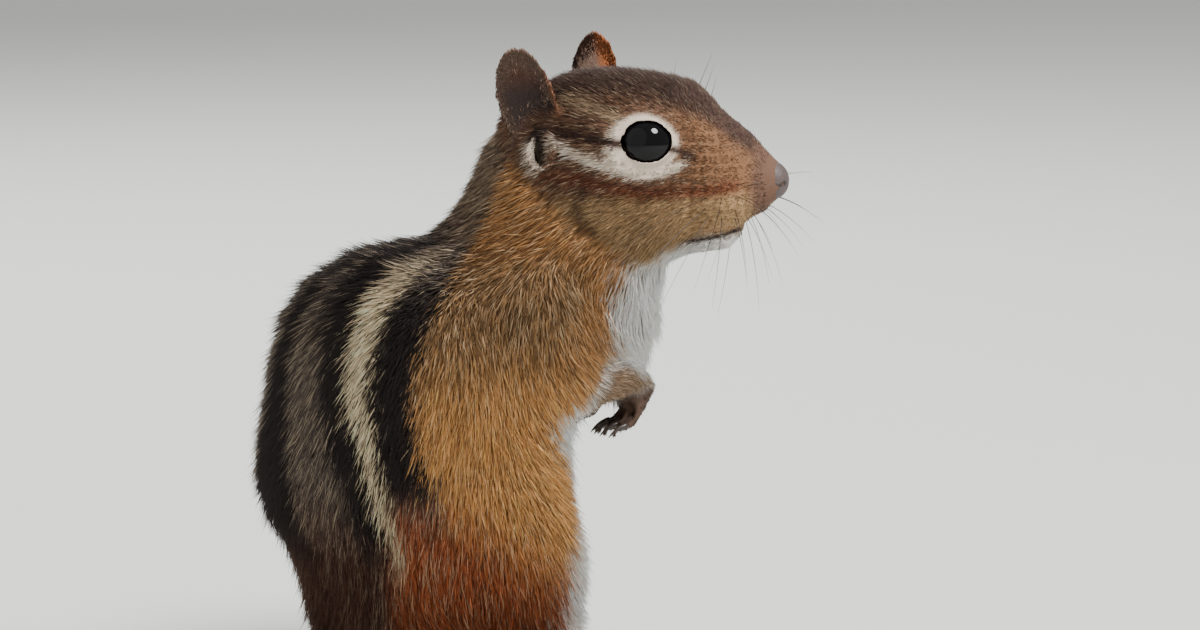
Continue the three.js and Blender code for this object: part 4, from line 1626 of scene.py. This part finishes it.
@dataclass
class Whiskers:
    """The long stiff hairs of the muzzle and the brow. Places and aims are for the left side."""

    anatomy: Anatomy
    rows: int = 4
    columns: int = 4
    first: tuple = (18.4, 3.4, -3.4)  # the root at the front of the top row
    first_back: tuple = (-1.4, 0.7, 0)  # from one root of a row to the next behind
    first_down: tuple = (0, 0, -1.1)  # from one row to the next below
    aim: tuple = (0.95, 0.8, 0.3)
    aim_back: tuple = (-0.4, 0, 0)
    aim_down: tuple = (0, 0, -0.4)
    vary_aim: float = 0.08
    lengths: tuple = (12, 3)  # at the front, and how much longer each behind is
    vary_length: float = 2.0
    brow_count: int = 3
    brow: tuple = (7.5, 6.6, 9.6)
    brow_step: tuple = (1.2, -0.5, -0.8)
    brow_aim: tuple = (0.35, 0.4, 1)
    brow_aim_step: tuple = (0, 0, 0.1)
    brow_lengths: tuple = (10, -1.5)
    droop: tuple = (-0.1, -0.05, -0.2)
    radii: tuple = (0.075, 0.012)
    steps: int = 8
    sides: int = 4

    def build(self) -> None:
        """Makes every whisker in one mesh."""
        rng = np.random.default_rng(SEED + 2)
        bm = bmesh.new()
        for side in (-1, 1):
            for row in range(self.rows):
                for column in range(self.columns):
                    numbers = (1, column, row)
                    start = self._placed(side, numbers, (self.first, self.first_back, self.first_down))
                    aim = self._placed(side, numbers, (self.aim, self.aim_back, self.aim_down))
                    length = self.lengths[0] + self.lengths[1] * column
                    length += rng.uniform(-self.vary_length, self.vary_length)
                    self._hair(bm, start, aim + Vector(rng.normal(0, self.vary_aim, 3)), length, side)
            for k in range(self.brow_count):
                start = self._placed(side, (1, k), (self.brow, self.brow_step))
                aim = self._placed(side, (1, k), (self.brow_aim, self.brow_aim_step))
                self._hair(bm, start, aim, self.brow_lengths[0] + self.brow_lengths[1] * k, side)
        finish = PlainFinish("Whiskers", (46, 36, 30), 0.4).material()
        piece("whiskers", mesh_of(bm, "whiskers"), finish)

    @staticmethod
    def _placed(side: int, numbers: tuple, steps: tuple) -> Vector:
        """Returns the sum of so many of each step, on one side of the head."""
        return Vector(np.array(numbers, float) @ np.array(steps, float) * [1, side, 1])

    def _hair(self, bm: bmesh.types.BMesh, start: Vector, aim: Vector, length: float, side: int) -> None:
        """Adds one whisker, which thins and droops towards its tip.

        Args:
            bm: The bmesh to add it to.
            start: Its root, in the head's frame.
            aim: Which way it starts.
            length: Its length in millimetres.
            side: 1 for the left, -1 for the right.
        """
        shares = np.linspace(0, 1, self.steps)
        droop = self._placed(side, (1,), (self.droop,))
        places = [start + aim.normalized() * length * t + droop * t * t * length for t in shares]
        radii = np.interp(shares, (0, 1), self.radii) * MM
        swept(bm, [self.anatomy.from_head(place) for place in places], radii, self.sides)


@dataclass
class Claws:
    """The claws of all four paws."""

    anatomy: Anatomy
    radius: float = 0.52
    thinning: tuple = (0.9, 1.5)  # how much and how late a claw thins
    rings: int = 7
    sides: int = 8

    def build(self) -> None:
        """Makes every claw in one mesh."""
        bm = bmesh.new()
        for digits in (FINGERS, TOES):
            for claw in digits.claws():
                for side in (-1, 1):
                    self._claw(bm, [Vector((x, y * side, z)) for x, y, z in claw])
        finish = PlainFinish("Claw horn", (52, 42, 36), 0.35).material()
        piece("claws", mesh_of(bm, "claws"), finish)

    def _claw(self, bm: bmesh.types.BMesh, places: list) -> None:
        """Adds one claw.

        Args:
            bm: The bmesh to add it to.
            places: The three places that it bends through.
        """
        a, b, c = places
        shares = np.linspace(0, 1, self.rings)
        spots = [a * (1 - t) ** 2 + b * 2 * t * (1 - t) + c * t * t for t in shares]
        thinner, late = self.thinning
        radii = self.radius * (1 - thinner * shares**late) * MM
        swept(bm, [self.anatomy.from_trunk(spot) for spot in spots], radii, self.sides)


@dataclass(frozen=True)
class Lamp:
    """A soft round light, and how far from the animal it hangs, in metres."""

    name: str
    back: float  # towards the camera
    right: float  # to the camera's right
    rise: float
    size: float
    power: float


LAMPS = (
    Lamp("key", 0.5, 0.45, 0.8, 0.4, 21),
    Lamp("fill", 0.7, -0.8, 0.3, 2.0, 4),
    Lamp("rim", -0.7, -0.2, 0.7, 0.6, 8),
)


@dataclass
class Studio:
    """A pale floor, soft light and a long lens at the photo's angle."""

    anatomy: Anatomy
    azimuth: float = -25.0
    elevation: float = 7.0
    distance: float = 1.1
    scale: float = 6.4  # picture elements to the millimetre
    frame_width: int = 1200
    frame_height: int = 630
    origin: tuple = (430, 692)  # where the trunk's origin falls in the picture
    sensor: float = 36.0
    clip: tuple = (0.05, 20)
    floor: float = 6.0
    sky: tuple = (0.92, 0.91, 0.89, 1)
    sky_strength: float = 0.55

    def build(self) -> None:
        """Sets the floor, the lights and the camera."""
        back, right, up = self._axes()
        centre_u = (self.frame_width / 2 - self.origin[0]) / self.scale
        centre_w = (self.origin[1] - self.frame_height / 2) / self.scale
        target = self.anatomy.from_trunk((0, 0, 0)) + (right * centre_u + up * centre_w) * MM
        self._camera(target, back)
        self._floor()
        for lamp in LAMPS:
            away = back * lamp.back + right * lamp.right + Vector((0, 0, lamp.rise))
            self._light(lamp, target + away, target)
        world = bpy.data.worlds.new("studio")
        world.use_nodes = True
        sky = world.node_tree.nodes["Background"]
        sky.inputs["Color"].default_value = self.sky
        sky.inputs["Strength"].default_value = self.sky_strength
        bpy.context.scene.world = world

    def _camera(self, target: Vector, back: Vector) -> None:
        """Sets up the camera.

        Args:
            target: What it looks at.
            back: The direction from there to the camera.
        """
        data = bpy.data.cameras.new("camera")
        data.sensor_width = self.sensor
        data.lens = self.sensor * self.distance / (self.frame_width / self.scale * MM)
        data.clip_start, data.clip_end = self.clip
        camera = bpy.data.objects.new("camera", data)
        camera.location = target + back * self.distance
        camera.rotation_mode = "QUATERNION"
        camera.rotation_quaternion = (-back).to_track_quat("-Z", "Y")
        bpy.context.scene.collection.objects.link(camera)
        bpy.context.scene.camera = camera

    def _axes(self) -> tuple[Vector, Vector, Vector]:
        """Works out the picture's directions.

        Returns:
            The directions towards the camera, to its right and up in the picture.
        """
        a, e = math.radians(self.azimuth), math.radians(self.elevation)
        back = Vector((math.sin(a) * math.cos(e), -math.cos(a) * math.cos(e), math.sin(e)))
        right = Vector((math.cos(a), math.sin(a), 0))
        return back, right, back.cross(right)

    def _floor(self) -> None:
        """Lays the floor."""
        bm = bmesh.new()
        bmesh.ops.create_grid(bm, x_segments=1, y_segments=1, size=self.floor)
        floor = bpy.data.objects.new("floor", mesh_of(bm, "floor"))
        floor.data.materials.append(PlainFinish("Floor", (214, 216, 212), 0.9).material())
        bpy.context.scene.collection.objects.link(floor)

    @staticmethod
    def _light(lamp: Lamp, at: Vector, target: Vector) -> None:
        """Hangs one light.

        Args:
            lamp: Its name, size and power.
            at: Where it hangs.
            target: What it faces.
        """
        data = bpy.data.lights.new(lamp.name, "AREA")
        data.shape, data.size, data.energy = "DISK", lamp.size, lamp.power
        light = bpy.data.objects.new(lamp.name, data)
        light.location = at
        light.rotation_mode = "QUATERNION"
        light.rotation_quaternion = (target - at).to_track_quat("-Z", "Y")
        bpy.context.scene.collection.objects.link(light)


def main() -> None:
    """Builds the animal and the studio."""
    logging.basicConfig(level=logging.INFO, format="%(name)s: %(message)s")
    anatomy = Anatomy()
    skin = Skin(anatomy, CoatLengths(), LieOfCoat(), Markings())
    skin.build()
    Coat(anatomy, skin).build()
    TailCoat(anatomy, skin).build()
    for side in (-1, 1):
        Eye(anatomy, side).build()
    Nose(anatomy).build()
    Whiskers(anatomy).build()
    Claws(anatomy).build()
    Studio(anatomy).build()


if __name__ == "__main__":
    main()
